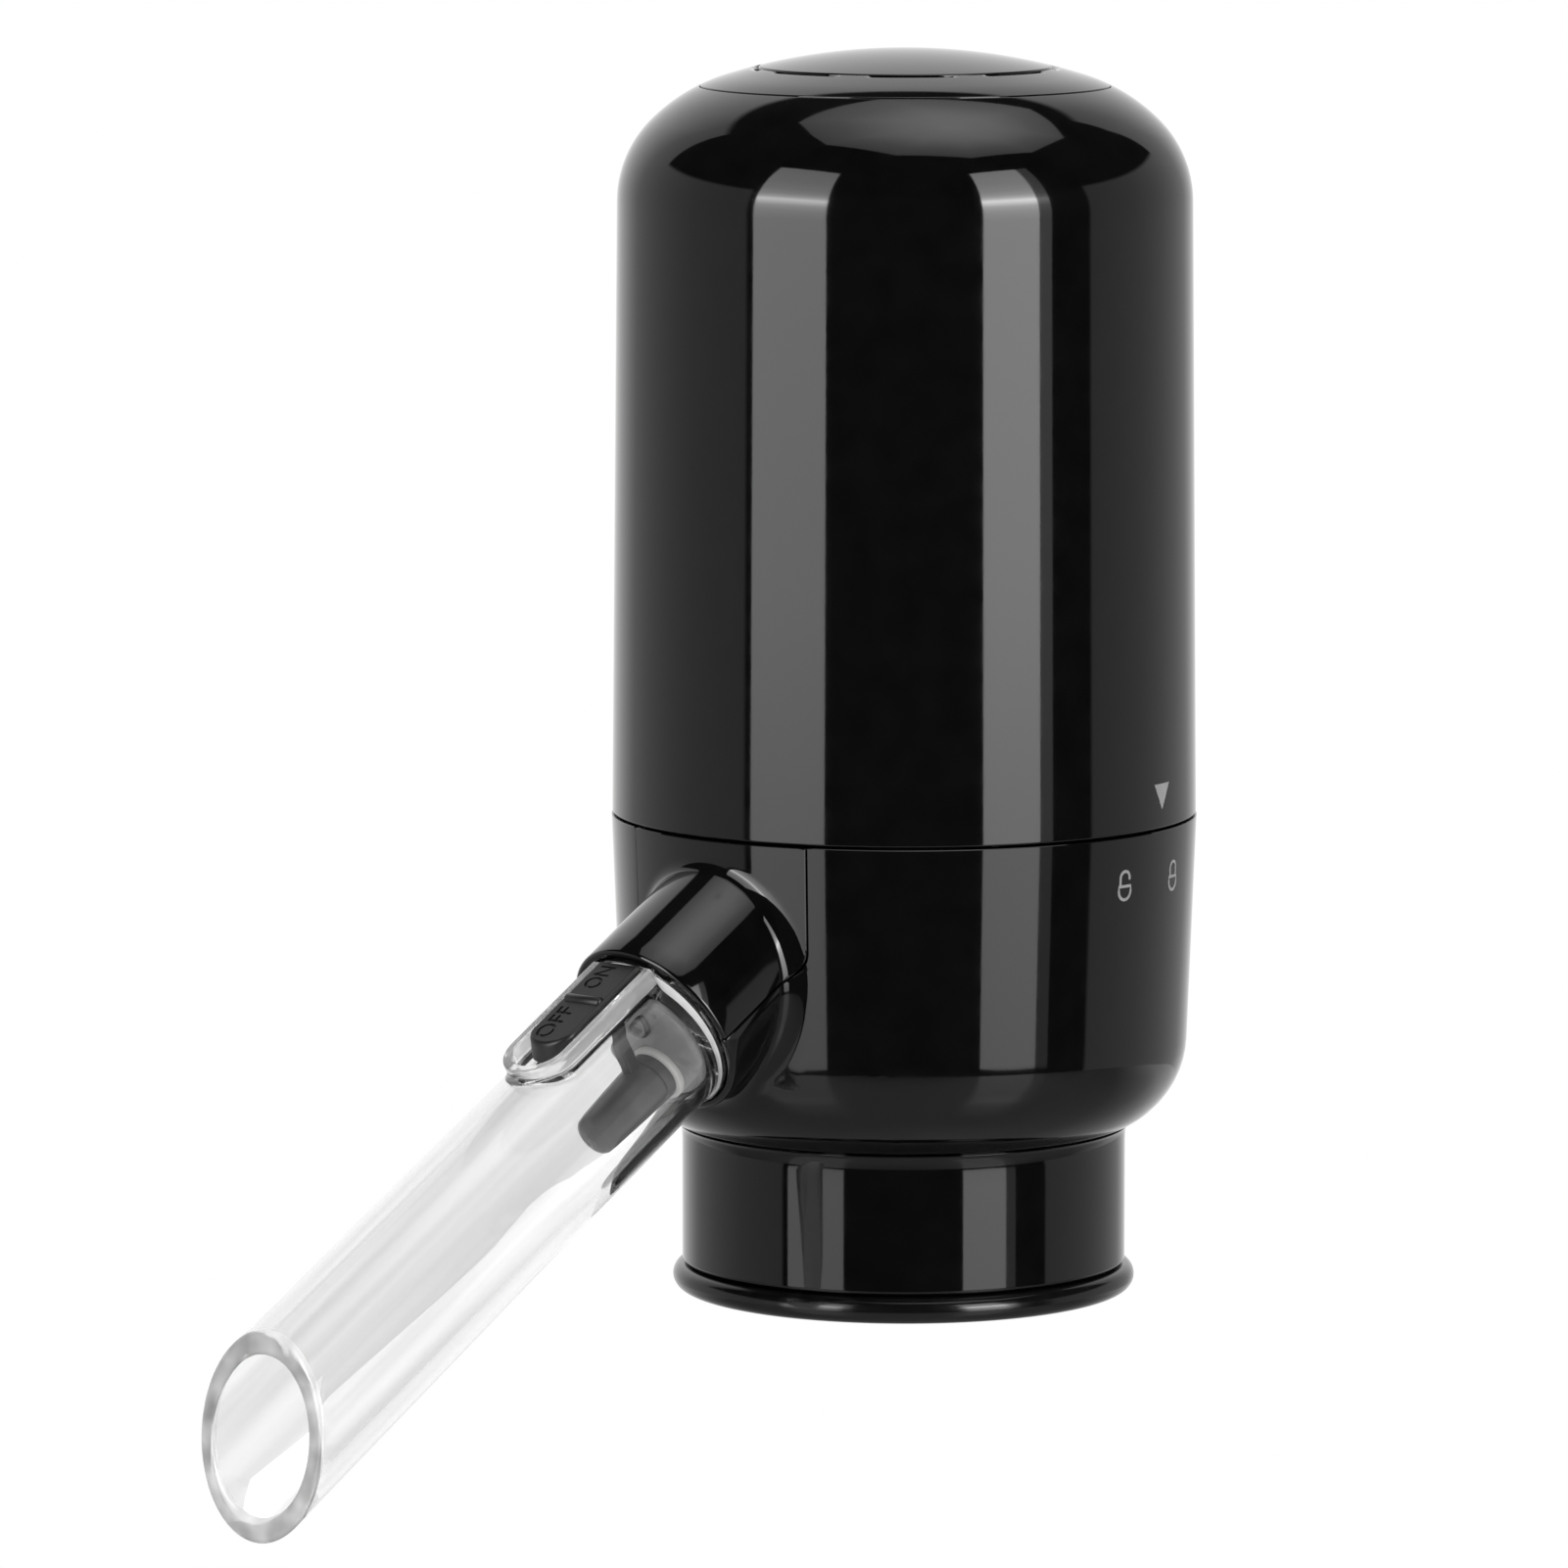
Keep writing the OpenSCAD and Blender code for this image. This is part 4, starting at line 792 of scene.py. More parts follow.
def lower_shell():
    """The housing behind the panel, with the lower half of the socket."""
    wall = Wall()
    right = [SHELL_START, *CORNER_RAYS, *np.linspace(93, LOW_CORNER, 14)]
    right += list(np.linspace(LOW_CORNER, 180, 26))[1:]
    rays = right + [360 - phi for phi in right[-2::-1]]
    table = shell_front(wall, rays)
    body = len(table[0])
    for first, second in zip(table, table[1:]):
        length = min(len(first), len(second))
        wall.sheet([first[:length], second[:length]])
    for phi in (90, 270):
        cut = table[rays.index(phi)][body - 1:]
        wall.soft.add(cut[0])
        wall.plates.append(cut)

    right_column = shell_side(wall, table[0], SHELL_HALF)
    left_column = shell_side(wall, table[-1], -SHELL_HALF)
    corner = right.index(LOW_CORNER)
    right_column += [row[0] for row in table[:corner + 1]]
    left_column += [row[0] for row in table[:-corner - 2:-1]]
    heights = [SEAM_Z] + [wall.outer[i][2] for i in right_column[1:]]
    columns = [right_column]
    for angle in np.linspace(PATCH, 360 - PATCH, 151)[1:-1]:
        columns.append([wall.add(skin(angle, z), soft=z == SEAM_Z) for z in heights])
    columns.append(left_column)
    wall.sheet(columns)

    rim = [column[-1] for column in columns] + [row[0] for row in table[-corner - 2:corner:-1]]
    wall.sheet([rim] + shell_foot(wall, rim), closed=True)
    return wall.mesh()


PANEL_SIDE = PANEL_HALF - math.degrees(PANEL_GAP / 2 / BODY_R)
PANEL_END = 89.1
PANEL_TOP_CORNER = 46.9
PANEL_RAYS = [74, 78, 80.5, 82, 83.5, 85, 86.5, 87.8, 88.6, PANEL_END]


def spout_panel():
    """The front panel with the upper half of the socket."""
    wall = Wall()
    rise = SOCKET_R * math.cos(math.radians(PANEL_END))
    right = [*np.linspace(0, PANEL_TOP_CORNER, 25), *np.linspace(PANEL_TOP_CORNER, 70, 10)[1:], *PANEL_RAYS]
    table = []
    for phi in [-phi for phi in right[:0:-1]] + right:
        edge = outline_rho(phi, PANEL_SIDE, rise)
        width = edge - SOCKET_R
        inset = min(0.3, 0.45 * width)
        levels = [edge, edge - min(0.12, 0.2 * width), edge - inset]
        levels += [SOCKET_R + (width - inset) * share ** 2 for share in np.linspace(1, 0, 27)[1:]]
        cut = abs(phi) == PANEL_END
        row = [wall.add(skin(*plain_spot(rho, phi)), soft=cut) for rho in levels]
        wall.soft.add(row[0])
        row += [wall.add(pair, soft=cut) for pair in socket_levels(phi)]
        table.append(row)
    wall.sheet(table)
    wall.plates += [table[0], table[-1]]
    return wall.mesh()


dress(solid("shell_lower", *lower_shell(), crease=32), "pouring_head", "gloss_black", "lower_shell")
dress(solid("panel_front", *spout_panel(), crease=32), "pouring_head", "gloss_black", "spout_panel")


# Clear spout with the raised rim around the switch

PLUG_FRONT = 9.9
PLUG_BACK = -7.4
PLUG_R = 10.7
PLUG_EDGE = 0.2
GROOVE_S = (0.5, 1.6)
GROOVE_DEPTH = 0.8
GROOVE_EDGE = 0.05
TUBE_ROOT_R = 9.5
TUBE_TIP_R = 10.1
SPOUT_LEN = 87.1
TIP_SLOPE = math.tan(math.radians(35.55))
TIP_EDGE = 0.7
TUBE_BORE_R = 7.8
MOUTH_EDGE = 0.6
TAIL_BORE_R = 8.2
TAIL_BEVEL = 0.15
SEAT_S = (28.0, 42.0)
RIM_HALF = 4.9
RIM_TURN_S = 26.1
RIM_TOP = 11.2
RIM_FILLET = 0.9
RIM_EDGE = 0.4
RIM_WALL = 1.3
RIM_INNER_EDGE = 0.25
POCKET_FLOOR = 9.1
POCKET_FILLET = 0.2
SLOT_HALF = 1.3
SLOT_S = (19.3, 13.9)
BORE_STATIONS = [34.5, 33, 31.5, 30, 28.5, 26, 23, *SLOT_S, 10, 6, 2, -2, -6, PLUG_BACK + TAIL_BEVEL]
SADDLE = 50.0
SADDLE_END = 36.0
# Steps of the rim: along its straight sides, around an eighth of a turn, and from the tube up to its side
RIM_STRAIGHT = 13
EIGHTH = 8
RIM_FOOT = 17
# Finishes of the spout's faces; the rim's one has painted brightness, part white
CLEAR, PAINTED_BRIGHT, FROSTED, CUT = range(4)


def tube_r(s):
    return TUBE_ROOT_R + (TUBE_TIP_R - TUBE_ROOT_R) * (s - PLUG_FRONT) / (SPOUT_LEN - PLUG_FRONT)


def on_tube(phi, s, radius=None):
    """A point of the tube, phi degrees from its top."""
    turn = math.radians(phi)
    size = tube_r(s) if radius is None else radius
    return spout_point(size * math.sin(turn), size * math.cos(turn), s)


def bore_r(s):
    """Radius of the bore, which narrows towards the tip through the valve's soft seat."""
    share = held((SEAT_S[1] - s) / (SEAT_S[1] - SEAT_S[0]))
    return TUBE_BORE_R + (TAIL_BORE_R - TUBE_BORE_R) * (1 - math.cos(math.pi * share)) / 2


def tip_s(radius, phi):
    """Where the sloping cut at the tip meets a line along the tube."""
    return SPOUT_LEN - radius * math.cos(math.radians(phi)) * TIP_SLOPE


def bend_through(a, b, c, steps):
    """A soft corner from a to c around b, without its first point."""
    a, b, c = (np.array(p) for p in (a, b, c))
    return [a * (1 - t) ** 2 + 2 * b * t * (1 - t) + c * t * t for t in np.linspace(0, 1, steps + 1)[1:]]


def rim_spots(far):
    """Places around the rim: (x, s), the outward direction there and where its blend starts on the tube.
    far has the angles of those starts across the rim's end."""
    straight = np.linspace(PLUG_FRONT, RIM_TURN_S, RIM_STRAIGHT)
    spots = [(RIM_HALF, s, 1, 0, (SADDLE, s)) for s in straight]
    for k in range(1, 4 * EIGHTH):
        nx = math.cos(math.pi * k / (4 * EIGHTH))
        ns = math.sin(math.pi * k / (4 * EIGHTH))
        if EIGHTH <= k <= 3 * EIGHTH:
            bound = (far[k - EIGHTH], SADDLE_END)
        else:
            share = min(k, 4 * EIGHTH - k) / EIGHTH
            bound = (math.copysign(SADDLE, nx), RIM_TURN_S + (SADDLE_END - RIM_TURN_S) * share)
        spots.append((RIM_HALF * nx, RIM_TURN_S + RIM_HALF * ns, nx, ns, bound))
    return spots + [(-RIM_HALF, s, -1, 0, (-SADDLE, s)) for s in straight[::-1]]


def rim_levels(x, s, nx, ns, bound):
    """Points from the tube over the rim and down to the pocket's floor, square to the rim's outline."""
    far_x, far_s = x + RIM_FILLET * nx, s + RIM_FILLET * ns
    far = (math.degrees(math.asin(far_x / tube_r(far_s))), far_s)
    levels = [on_tube(*between(bound, far, k / 8)) for k in range(8)]
    for turn in np.radians(np.linspace(0, 90, 9)):
        off = RIM_FILLET * (1 - math.sin(turn))
        place = x + off * nx, s + off * ns
        up = math.sqrt(tube_r(place[1]) ** 2 - place[0] ** 2) + RIM_FILLET * (1 - math.cos(turn))
        levels.append(spout_point(place[0], up, place[1]))
    profile = [(0.0, RIM_TOP - RIM_EDGE - 0.05)]
    profile += arc((RIM_EDGE, RIM_TOP - RIM_EDGE), RIM_EDGE, 180, 90, 5)
    profile += [(0.5, RIM_TOP), (1.0, RIM_TOP)]
    profile += arc((RIM_WALL - RIM_INNER_EDGE, RIM_TOP - RIM_INNER_EDGE), RIM_INNER_EDGE, 90, 0, 3)
    profile += [(RIM_WALL, RIM_TOP - RIM_INNER_EDGE - 0.1), (RIM_WALL, POCKET_FLOOR + POCKET_FILLET + 0.1)]
    profile += arc((RIM_WALL + POCKET_FILLET, POCKET_FLOOR + POCKET_FILLET), POCKET_FILLET, 180, 270, 3)
    return levels + [spout_point(x - off * nx, up, s - off * ns) for off, up in profile]


def tip_profile(phi):
    """(radius, s) points over the cut tip, from the tube's outside into its bore."""
    outer_r = tube_r(tip_s(TUBE_TIP_R, phi) - TIP_EDGE)
    mouth_r = TUBE_BORE_R + MOUTH_EDGE
    profile = bend_through((outer_r, tip_s(outer_r, phi) - TIP_EDGE), (outer_r, tip_s(outer_r, phi)),
                           (outer_r - TIP_EDGE, tip_s(outer_r - TIP_EDGE, phi)), 6)
    profile += [(r, tip_s(r, phi)) for r in (mouth_r + 0.1, mouth_r)]
    bore_end = tip_s(TUBE_BORE_R, phi)
    return profile + bend_through(profile[-1], (TUBE_BORE_R, bore_end),
                                  (TUBE_BORE_R, bore_end - MOUTH_EDGE), 5)


def bore_profile(start):
    """(radius, s) points along the bore, from a place behind the tip to the plug's back."""
    stations = [*np.linspace(start, SADDLE_END, 17)[1:], *BORE_STATIONS]
    return [(bore_r(s), s) for s in stations] + [(TAIL_BORE_R + TAIL_BEVEL, PLUG_BACK)]


def plug_profile():
    """(radius, s) points along the plug's outside, with the groove of its O-ring."""
    back, front = GROOVE_S
    outside = [(PLUG_EDGE, PLUG_FRONT), (0, PLUG_FRONT - PLUG_EDGE)]
    outside += [(0, front + GROOVE_EDGE), (GROOVE_EDGE, front), (GROOVE_DEPTH, front)]
    outside += [(GROOVE_DEPTH, back), (GROOVE_EDGE, back), (0, back - GROOVE_EDGE)]
    outside += [(0, PLUG_BACK + PLUG_EDGE), (PLUG_EDGE, PLUG_BACK)]
    return [(PLUG_R - depth, s) for depth, s in outside]


class Draft:
    """A mesh in the making: its points, its faces and their finishes."""

    def __init__(self):
        self.points = []
        self.faces = []
        self.looks = []

    def add(self, places):
        start = len(self.points)
        self.points += places
        return list(range(start, len(self.points)))

    def lay(self, faces, look=CLEAR):
        self.faces += faces
        self.looks += [look] * len(faces)

    def sheet(self, rows, look=CLEAR, closed=False):
        self.lay(strips(rows, closed), look)

    def fill(self, *loops, look=CLEAR):
        """A flat face inside the first loop, with a hole for each other loop."""
        corners = [[Vector(self.points[i]) for i in loop] for loop in loops]
        order = [i for loop in loops for i in loop]
        self.lay([[order[i] for i in triangle] for triangle in tessellate_polygon(corners)], look)


def pour_spout():
    """The spout's mesh in four finishes: clear, the rim with painted brightness (part white), the
    unpolished front of the plug and the sawn tip."""
    draft = Draft()
    slot_phi = math.degrees(math.asin(SLOT_HALF / TAIL_BORE_R))
    far = [*np.linspace(SADDLE, slot_phi, EIGHTH), 0.0, *np.linspace(-slot_phi, -SADDLE, EIGHTH)]
    spots = rim_spots(far)
    rays = [draft.add(rim_levels(*spot)) for spot in spots]
    draft.sheet([ray[:RIM_FOOT] for ray in rays])
    # The rim above its blend takes the part white finish: painted brightness in place of light caught in it
    draft.sheet([ray[RIM_FOOT - 1:] for ray in rays], PAINTED_BRIGHT)

    slot_x = (SLOT_HALF, 0.0, -SLOT_HALF)
    slot_places = [(x, SLOT_S[0]) for x in slot_x] + [(x, SLOT_S[1]) for x in slot_x[::-1]]
    slot_top = draft.add([spout_point(x, POCKET_FLOOR, s) for x, s in slot_places])
    draft.fill([ray[-1] for ray in rays], slot_top)

    round_angles = list(np.linspace(SADDLE, 360 - SADDLE, 105))[1:-1]
    row_count = RIM_STRAIGHT + EIGHTH
    rows = []
    for k, (*_, (_, s)) in enumerate(spots[:row_count]):
        around = draft.add([on_tube(phi, s) for phi in round_angles])
        rows.append([rays[k][0], *around, rays[-1 - k][0]])
    draft.sheet(rows)

    ring_angles = far + round_angles[::-1]
    ends = [tip_s(TUBE_TIP_R, phi) - TIP_EDGE for phi in ring_angles]
    rings = [[ray[0] for ray in rays[row_count - 1:row_count + 2 * EIGHTH]] + rows[-1][-2:0:-1]]
    for share in np.linspace(0, 1, 25)[1:]:
        stations = [SADDLE_END + (end - SADDLE_END) * share for end in ends]
        rings.append(draft.add([on_tube(phi, s) for phi, s in zip(ring_angles, stations)]))
    tips = [tip_profile(phi) for phi in ring_angles]
    cut = range(len(rings) - 1, len(rings) - 1 + len(tips[0]))
    for level in zip(*(tip + bore_profile(tip[-1][1]) for tip in tips)):
        rings.append(draft.add([on_tube(phi, s, r) for phi, (r, s) in zip(ring_angles, level)]))
    slot_ring = len(rings) - 1 - len(BORE_STATIONS) + BORE_STATIONS.index(SLOT_S[0])
    for k, (first, second) in enumerate(zip(rings, rings[1:])):
        quads = strip(first, second)
        if k == slot_ring:
            del quads[EIGHTH - 1:EIGHTH + 1]
        draft.lay(quads, CUT if k in cut else CLEAR)
    across = slice(EIGHTH - 1, EIGHTH + 2)
    draft.lay(strip(rings[slot_ring][across] + rings[slot_ring + 1][across][::-1], slot_top))

    plug_angles = np.linspace(0, 360, 120, endpoint=False)
    plug_rings = [draft.add([spout_point(*around_socket(r, phi), s) for phi in plug_angles])
                  for r, s in plug_profile()]
    draft.sheet(plug_rings, closed=True)
    draft.fill(plug_rings[-1], rings[-1])
    draft.fill(plug_rings[0], rays[0] + rays[-1][::-1] + rows[0][-2:0:-1], look=FROSTED)
    return draft


def spout():
    draft = pour_spout()
    obj = solid("spout_clear", draft.points, draft.faces, crease=50)
    dress(obj, "pouring_head", "clear_acrylic", "pour_spout", "valve_seat")
    for look in ("edge_acrylic", "frosted_acrylic", "cut_acrylic"):
        obj.data.materials.append(LOOKS[look])
    for face, look in zip(obj.data.polygons, draft.looks):
        face.material_index = look


spout()


# Switch slider, the valve that it moves, and its engraved words

SLIDER_HALF = 3.35
SLIDER_S = (10.2, 27.0)
SLIDER_LOW = 9.3
SLIDER_TOP = 11.6
SLIDER_EDGE = 0.4
SLIDER_BEVEL = 0.1
SLIDER_SLANT = 1.1
SLIDER_CREASE = 35
RIDGE_S = 17.25
RIDGE_R = 0.75
RIDGE_RISE = 0.45
STEM_HALF = 0.8
STEM_S = (14.5, 16.3)
STEM_TOP = 9.6
STEM_EDGE = 0.25
CUTTER_T = 0.36
LETTER_GAIN = 0.012

# Stations of the ridge are (x, size), and those of the round pieces (place along the spout, radius)
RIDGE = [(-2.95, 0.45), (-2.85, 0.75), (-2.6, 1.0), (2.6, 1.0), (2.85, 0.75), (2.95, 0.45)]
SHUTTLE_UP = -3.84
SHUTTLE = [(11.0, 3.4), (14.0, 3.25), (14.1, 3.05), (14.4, 3.05), (14.5, 3.25), (19.0, 3.05), (23.5, 2.8),
           (24.8, 2.65), (25.2, 2.4), (25.45, 1.9)]
VALVE_CUP = [(10.3, 7.1), (10.4, 7.45), (10.65, 7.65), (11.35, 7.65), (11.6, 7.45), (11.7, 7.1)]
VALVE_COLLAR = [(11.5, 3.6), (11.6, 3.8), (11.8, 3.9), (12.3, 3.9), (12.5, 3.8), (12.6, 3.6)]
VENT_UP = 3.7
VALVE_VENT = [(11.2, 2.1), (12.1, 2.1), (12.25, 2.05), (12.35, 1.9), (12.35, 1.4), (12.25, 1.25),
              (11.9, 1.1)]


def slider_body():
    """A long key with a round, slanting end towards the tip."""
    turn_s = SLIDER_S[1] - SLIDER_HALF
    straight = np.linspace(SLIDER_S[0], turn_s, 15)
    outline = [(SLIDER_HALF, s, 1.0, 0.0) for s in straight]
    outline += [(SLIDER_HALF * nx, turn_s + SLIDER_HALF * ns, nx, ns)
                for nx, ns in arc((0, 0), 1, 0, 180, 28)[1:-1]]
    outline += [(-SLIDER_HALF, s, -1.0, 0.0) for s in straight[::-1]]
    levels = [(SLIDER_BEVEL, SLIDER_LOW), (0.0, SLIDER_LOW + SLIDER_BEVEL)]
    levels.append((0.0, SLIDER_TOP - SLIDER_EDGE - SLIDER_BEVEL))
    levels += arc((SLIDER_EDGE, SLIDER_TOP - SLIDER_EDGE), SLIDER_EDGE, 180, 90, 5)
    levels.append((SLIDER_EDGE + 0.08, SLIDER_TOP))
    loops = []
    for off, up in levels:
        lean = SLIDER_SLANT * (up - SLIDER_LOW) / (SLIDER_TOP - SLIDER_LOW)
        loops.append([spout_point(x - (off + lean * ns) * nx, up, s - (off + lean * ns) * ns)
                      for x, s, nx, ns in outline])
    return loop_solid(loops)


def ridge():
    """The finger ridge across the slider, with rounded ends."""
    loops = []
    for x, size in RIDGE:
        middle = SLIDER_TOP - RIDGE_R + RIDGE_RISE * size
        loops.append([spout_point(x, middle + RIDGE_R * math.cos(a), RIDGE_S + RIDGE_R * size * math.sin(a))
                      for a in circle(24)])
    return loop_solid(loops)


def stem():
    """The post that carries the slider's motion down through the slot."""
    corners = [(-STEM_HALF, STEM_S[0], STEM_EDGE), (STEM_HALF, STEM_S[0], STEM_EDGE),
               (STEM_HALF, STEM_S[1], STEM_EDGE), (-STEM_HALF, STEM_S[1], STEM_EDGE)]
    outline = rounded(corners, steps=3)
    return loop_solid([[spout_point(x, up, s) for x, s in outline] for up in (SHUTTLE_UP, STEM_TOP)])


def turned(stations, up):
    """A round solid along the spout, at a height above the spout's axis."""
    return loop_solid([[spout_point(r * math.sin(a), up + r * math.cos(a), s) for a in circle(96)]
                       for s, r in stations])


def evaluated(obj):
    """The mesh of an object with its modifiers or of its text."""
    bpy.context.view_layer.update()
    return bpy.data.meshes.new_from_object(obj.evaluated_get(bpy.context.evaluated_depsgraph_get()))


def word(text, length, height, middle_x, middle_s):
    """A cutter in the shape of a word, which reads from the tip towards the body."""
    curve = bpy.data.curves.new("word", "FONT")
    curve.body = text
    curve.extrude = 0.5
    curve.offset = LETTER_GAIN
    letters = bpy.data.objects.new("word", curve)
    bpy.context.collection.objects.link(letters)
    mesh = evaluated(letters)
    bpy.data.objects.remove(letters)
    bpy.data.curves.remove(curve)
    places = np.array([tuple(v.co) for v in mesh.vertices])
    low, high = places.min(0), places.max(0)
    shares = (places - (low + high) / 2) / (high - low)
    for vertex, share in zip(mesh.vertices, shares):
        up = SLIDER_TOP + share[2] * CUTTER_T
        vertex.co = Vector(spout_point(middle_x - share[1] * height, up, middle_s - share[0] * length)) * MM
    return bpy.data.objects.new("word", mesh)


def engrave(obj, cutters):
    """Cuts the cutters out of the object and removes them."""
    for cutter in cutters:
        bpy.context.collection.objects.link(cutter)
        cut = obj.modifiers.new("cut", "BOOLEAN")
        cut.solver = "EXACT"
        cut.object = cutter
    mesh = evaluated(obj)
    obj.modifiers.clear()
    obj.data = mesh
    for cutter in cutters:
        bpy.data.objects.remove(cutter)
    smooth(mesh, SLIDER_CREASE)


slider = solid("slider_key", *slider_body(), crease=SLIDER_CREASE)
engrave(slider, [word("OFF", 5.9, 2.5, -1.0, 21.9), word("ON", 4.3, 2.5, -1.0, 13.0)])
dress(slider, "switch", "satin_black", "switch_slider")
dress(solid("slider_ridge", *ridge()), "switch", "satin_black")
dress(solid("slider_stem", *stem()), "switch", "satin_black")
dress(solid("valve_cup", *turned(VALVE_CUP, 0.0)), "switch", "silicone", look="cup_grey")
dress(solid("valve_collar", *turned(VALVE_COLLAR, SHUTTLE_UP)), "switch", "silicone")
dress(solid("valve_vent", *turned(VALVE_VENT, VENT_UP)), "switch", "seal_black")
shuttle = solid("valve_shuttle", *turned(SHUTTLE, SHUTTLE_UP))
dress(shuttle, "switch", "seal_black", "valve_plug", look="smoky_grey")


# Printed marks: thin ribbons that stand just proud of the wall

PRINT_RISE = 0.05
PRINT_DEPTH = 0.06
LOCK_LINE = 0.37
LOCK_HALF = 1.08
LOCK_BAR = 1.65
LOCK_CREST = 2.65
LOCK_Z = 51.5
SHACKLE_HALF = 0.83
SHACKLE_BEND = 2.1
SHACKLE_OPEN = 2.4
POINTER_Z = 61.7
POINTER_ANGLE = 103
POINTER = [(-1.85, 3.2), (-0.6, 3.2), (0.6, 3.2), (1.85, 3.2), (0.9, 1.55), (0.0, 0.0), (-0.9, 1.55)]


def printed(outline, angle, z, radius_at):
    """Back and front of a thin plate with a flat outline, laid on the wall around an angle and a height."""
    loops = []
    for rise in (-PRINT_DEPTH, PRINT_RISE):
        loop = []
        for x, y in outline:
            turn = math.radians(angle) + x / radius_at(z + y)
            r = radius_at(z + y) + rise
            loop.append((r * math.sin(turn), -r * math.cos(turn), z + y))
        loops.append(loop)
    return loops


def ribbon(path, width, closed):
    """The two sides of a line along a path."""
    places = [np.array(place, float) for place in path]
    left, right = [], []
    for k, here in enumerate(places):
        before = places[k - 1] if closed or k > 0 else here
        after = places[(k + 1) % len(places)] if closed or k < len(places) - 1 else here
        along = after - before
        across = np.array((-along[1], along[0])) / np.linalg.norm(along)
        left.append(here - across * width / 2)
        right.append(here + across * width / 2)
    return left, right


def stroke(name, path, closed, angle):
    """A printed line on the lower housing, as one closed solid."""
    low, high = (printed(side, angle, LOCK_Z, lower_radius) for side in ribbon(path, LOCK_LINE, closed))
    loops = list(zip(low[0], high[0], high[1], low[1]))
    dress(solid(name, *loop_solid(loops, closed)), "pouring_head", "gloss_black", look="print_grey")


def padlock(name, angle, shackle_end):
    """A round-bottomed padlock with a bar and a shackle, whose free end is at a height."""
    body = [(-LOCK_HALF, LOCK_BAR)] + arc((0, LOCK_HALF), LOCK_HALF, 180, 360, 20) + [(LOCK_HALF, LOCK_BAR)]
    stroke(f"{name}_body", body, True, angle)
    shackle = [(-SHACKLE_HALF, LOCK_BAR), (-SHACKLE_HALF, SHACKLE_BEND)]
    shackle += arc((0, LOCK_CREST), SHACKLE_HALF, 180, 0, 16) + [(SHACKLE_HALF, shackle_end)]
    stroke(f"{name}_shackle", shackle, False, angle)


def upper_radius(z):
    """Radius of the upper shell's straight side."""
    return UPPER_R - UPPER_LEAN * (z - UPPER_LOW)


padlock("mark_unlock", 90.6, SHACKLE_OPEN)
padlock("mark_lock", 108.3, LOCK_BAR)
pointer = solid("mark_pointer", *loop_solid(printed(POINTER, POINTER_ANGLE, POINTER_Z, upper_radius)))
dress(pointer, "power_unit", "gloss_black", look="print_grey")


# Studio, in metres

FLOOR_R = 1.15
FLOOR_Z = -0.28
BOX_LOW = -0.27
BOX_TOP = 1.24
BOX_DISTANCE = 1.25

# Brightness of the room from its back to its front, of the side boxes from foot to top, and of the top box
# from its middle to its rim
WALLS = ((0.0, 1.0), (0.05, 0.85), (0.11, 0.6), (0.21, 0.54), (0.40, 0.46), (0.645, 0.42), (0.658, 0.02),
         (1.0, 0.015))
GLOW = ((0.0, 0.12), (0.04, 0.145), (0.113, 0.19), (0.164, 0.26), (0.258, 0.33), (0.33, 0.37), (0.40, 0.5),
        (0.45, 0.85), (0.477, 1.0), (0.51, 0.6), (0.55, 0.40), (0.62, 0.30), (0.74, 0.25), (1.0, 0.21))
TOP_GLOW = ((0.0, 1.0), (0.35, 0.8), (0.7, 0.46), (1.0, 0.3))


def facing(azimuth):
    """The level direction at an angle to the right of the camera, seen from the part towards the camera."""
    angle = CAMERA_AZIMUTH + math.radians(azimuth)
    return Vector((math.sin(angle), -math.cos(angle), 0))


def seen_directly(tree):
    """1 for the camera's own rays and for those that pass through clear plastic."""
    path = wired(tree, "LightPath", {}).outputs
    return maths(tree, "MAXIMUM", path["Is Camera Ray"], path["Is Transmission Ray"])


def floor():
    """A pale satin table at bottle height below the part. It is white far off and keeps the shadow near by.
    Gloss mirrors its far half as pale too."""
    bpy.ops.mesh.primitive_circle_add(vertices=96, radius=FLOOR_R, fill_type="NGON",
                                      location=(0, 0, FLOOR_Z))
    table = bpy.context.object
    table.name = "floor"
    tree, shader = new_material("floor")
    plug(tree, shader, {"Base Color": (*grey(0.4), 1), "Roughness": 0.22})
    plain = shader.outputs["BSDF"]
    where = wired(tree, "TexCoord", {}).outputs["Object"]
    reach = vector_maths(tree, "LENGTH", where)["Value"]
    light = wired(tree, "Emission", {"Strength": scaled(tree, reach, (0.3, 1.1), (0.78, 1.0))})
    both = wired(tree, "AddShader", {0: plain, 1: light.outputs["Emission"]})
    behind = vector_maths(tree, "DOT_PRODUCT", where, facing(180))["Value"]
    gloss = wired(tree, "LightPath", {}).outputs["Is Glossy Ray"]
    pale = scaled(tree, behind, (0.1, 0.6), (0, 0.6))
    share = maths(tree, "MULTIPLY_ADD", gloss, pale, seen_directly(tree))
    chosen = wired(tree, "MixShader", {"Fac": share, 1: plain, 2: both.outputs["Shader"]})
    plug(tree, tree.nodes["Material Output"], {"Surface": chosen.outputs["Shader"]})
    table.data.materials.append(LOOKS["floor"])


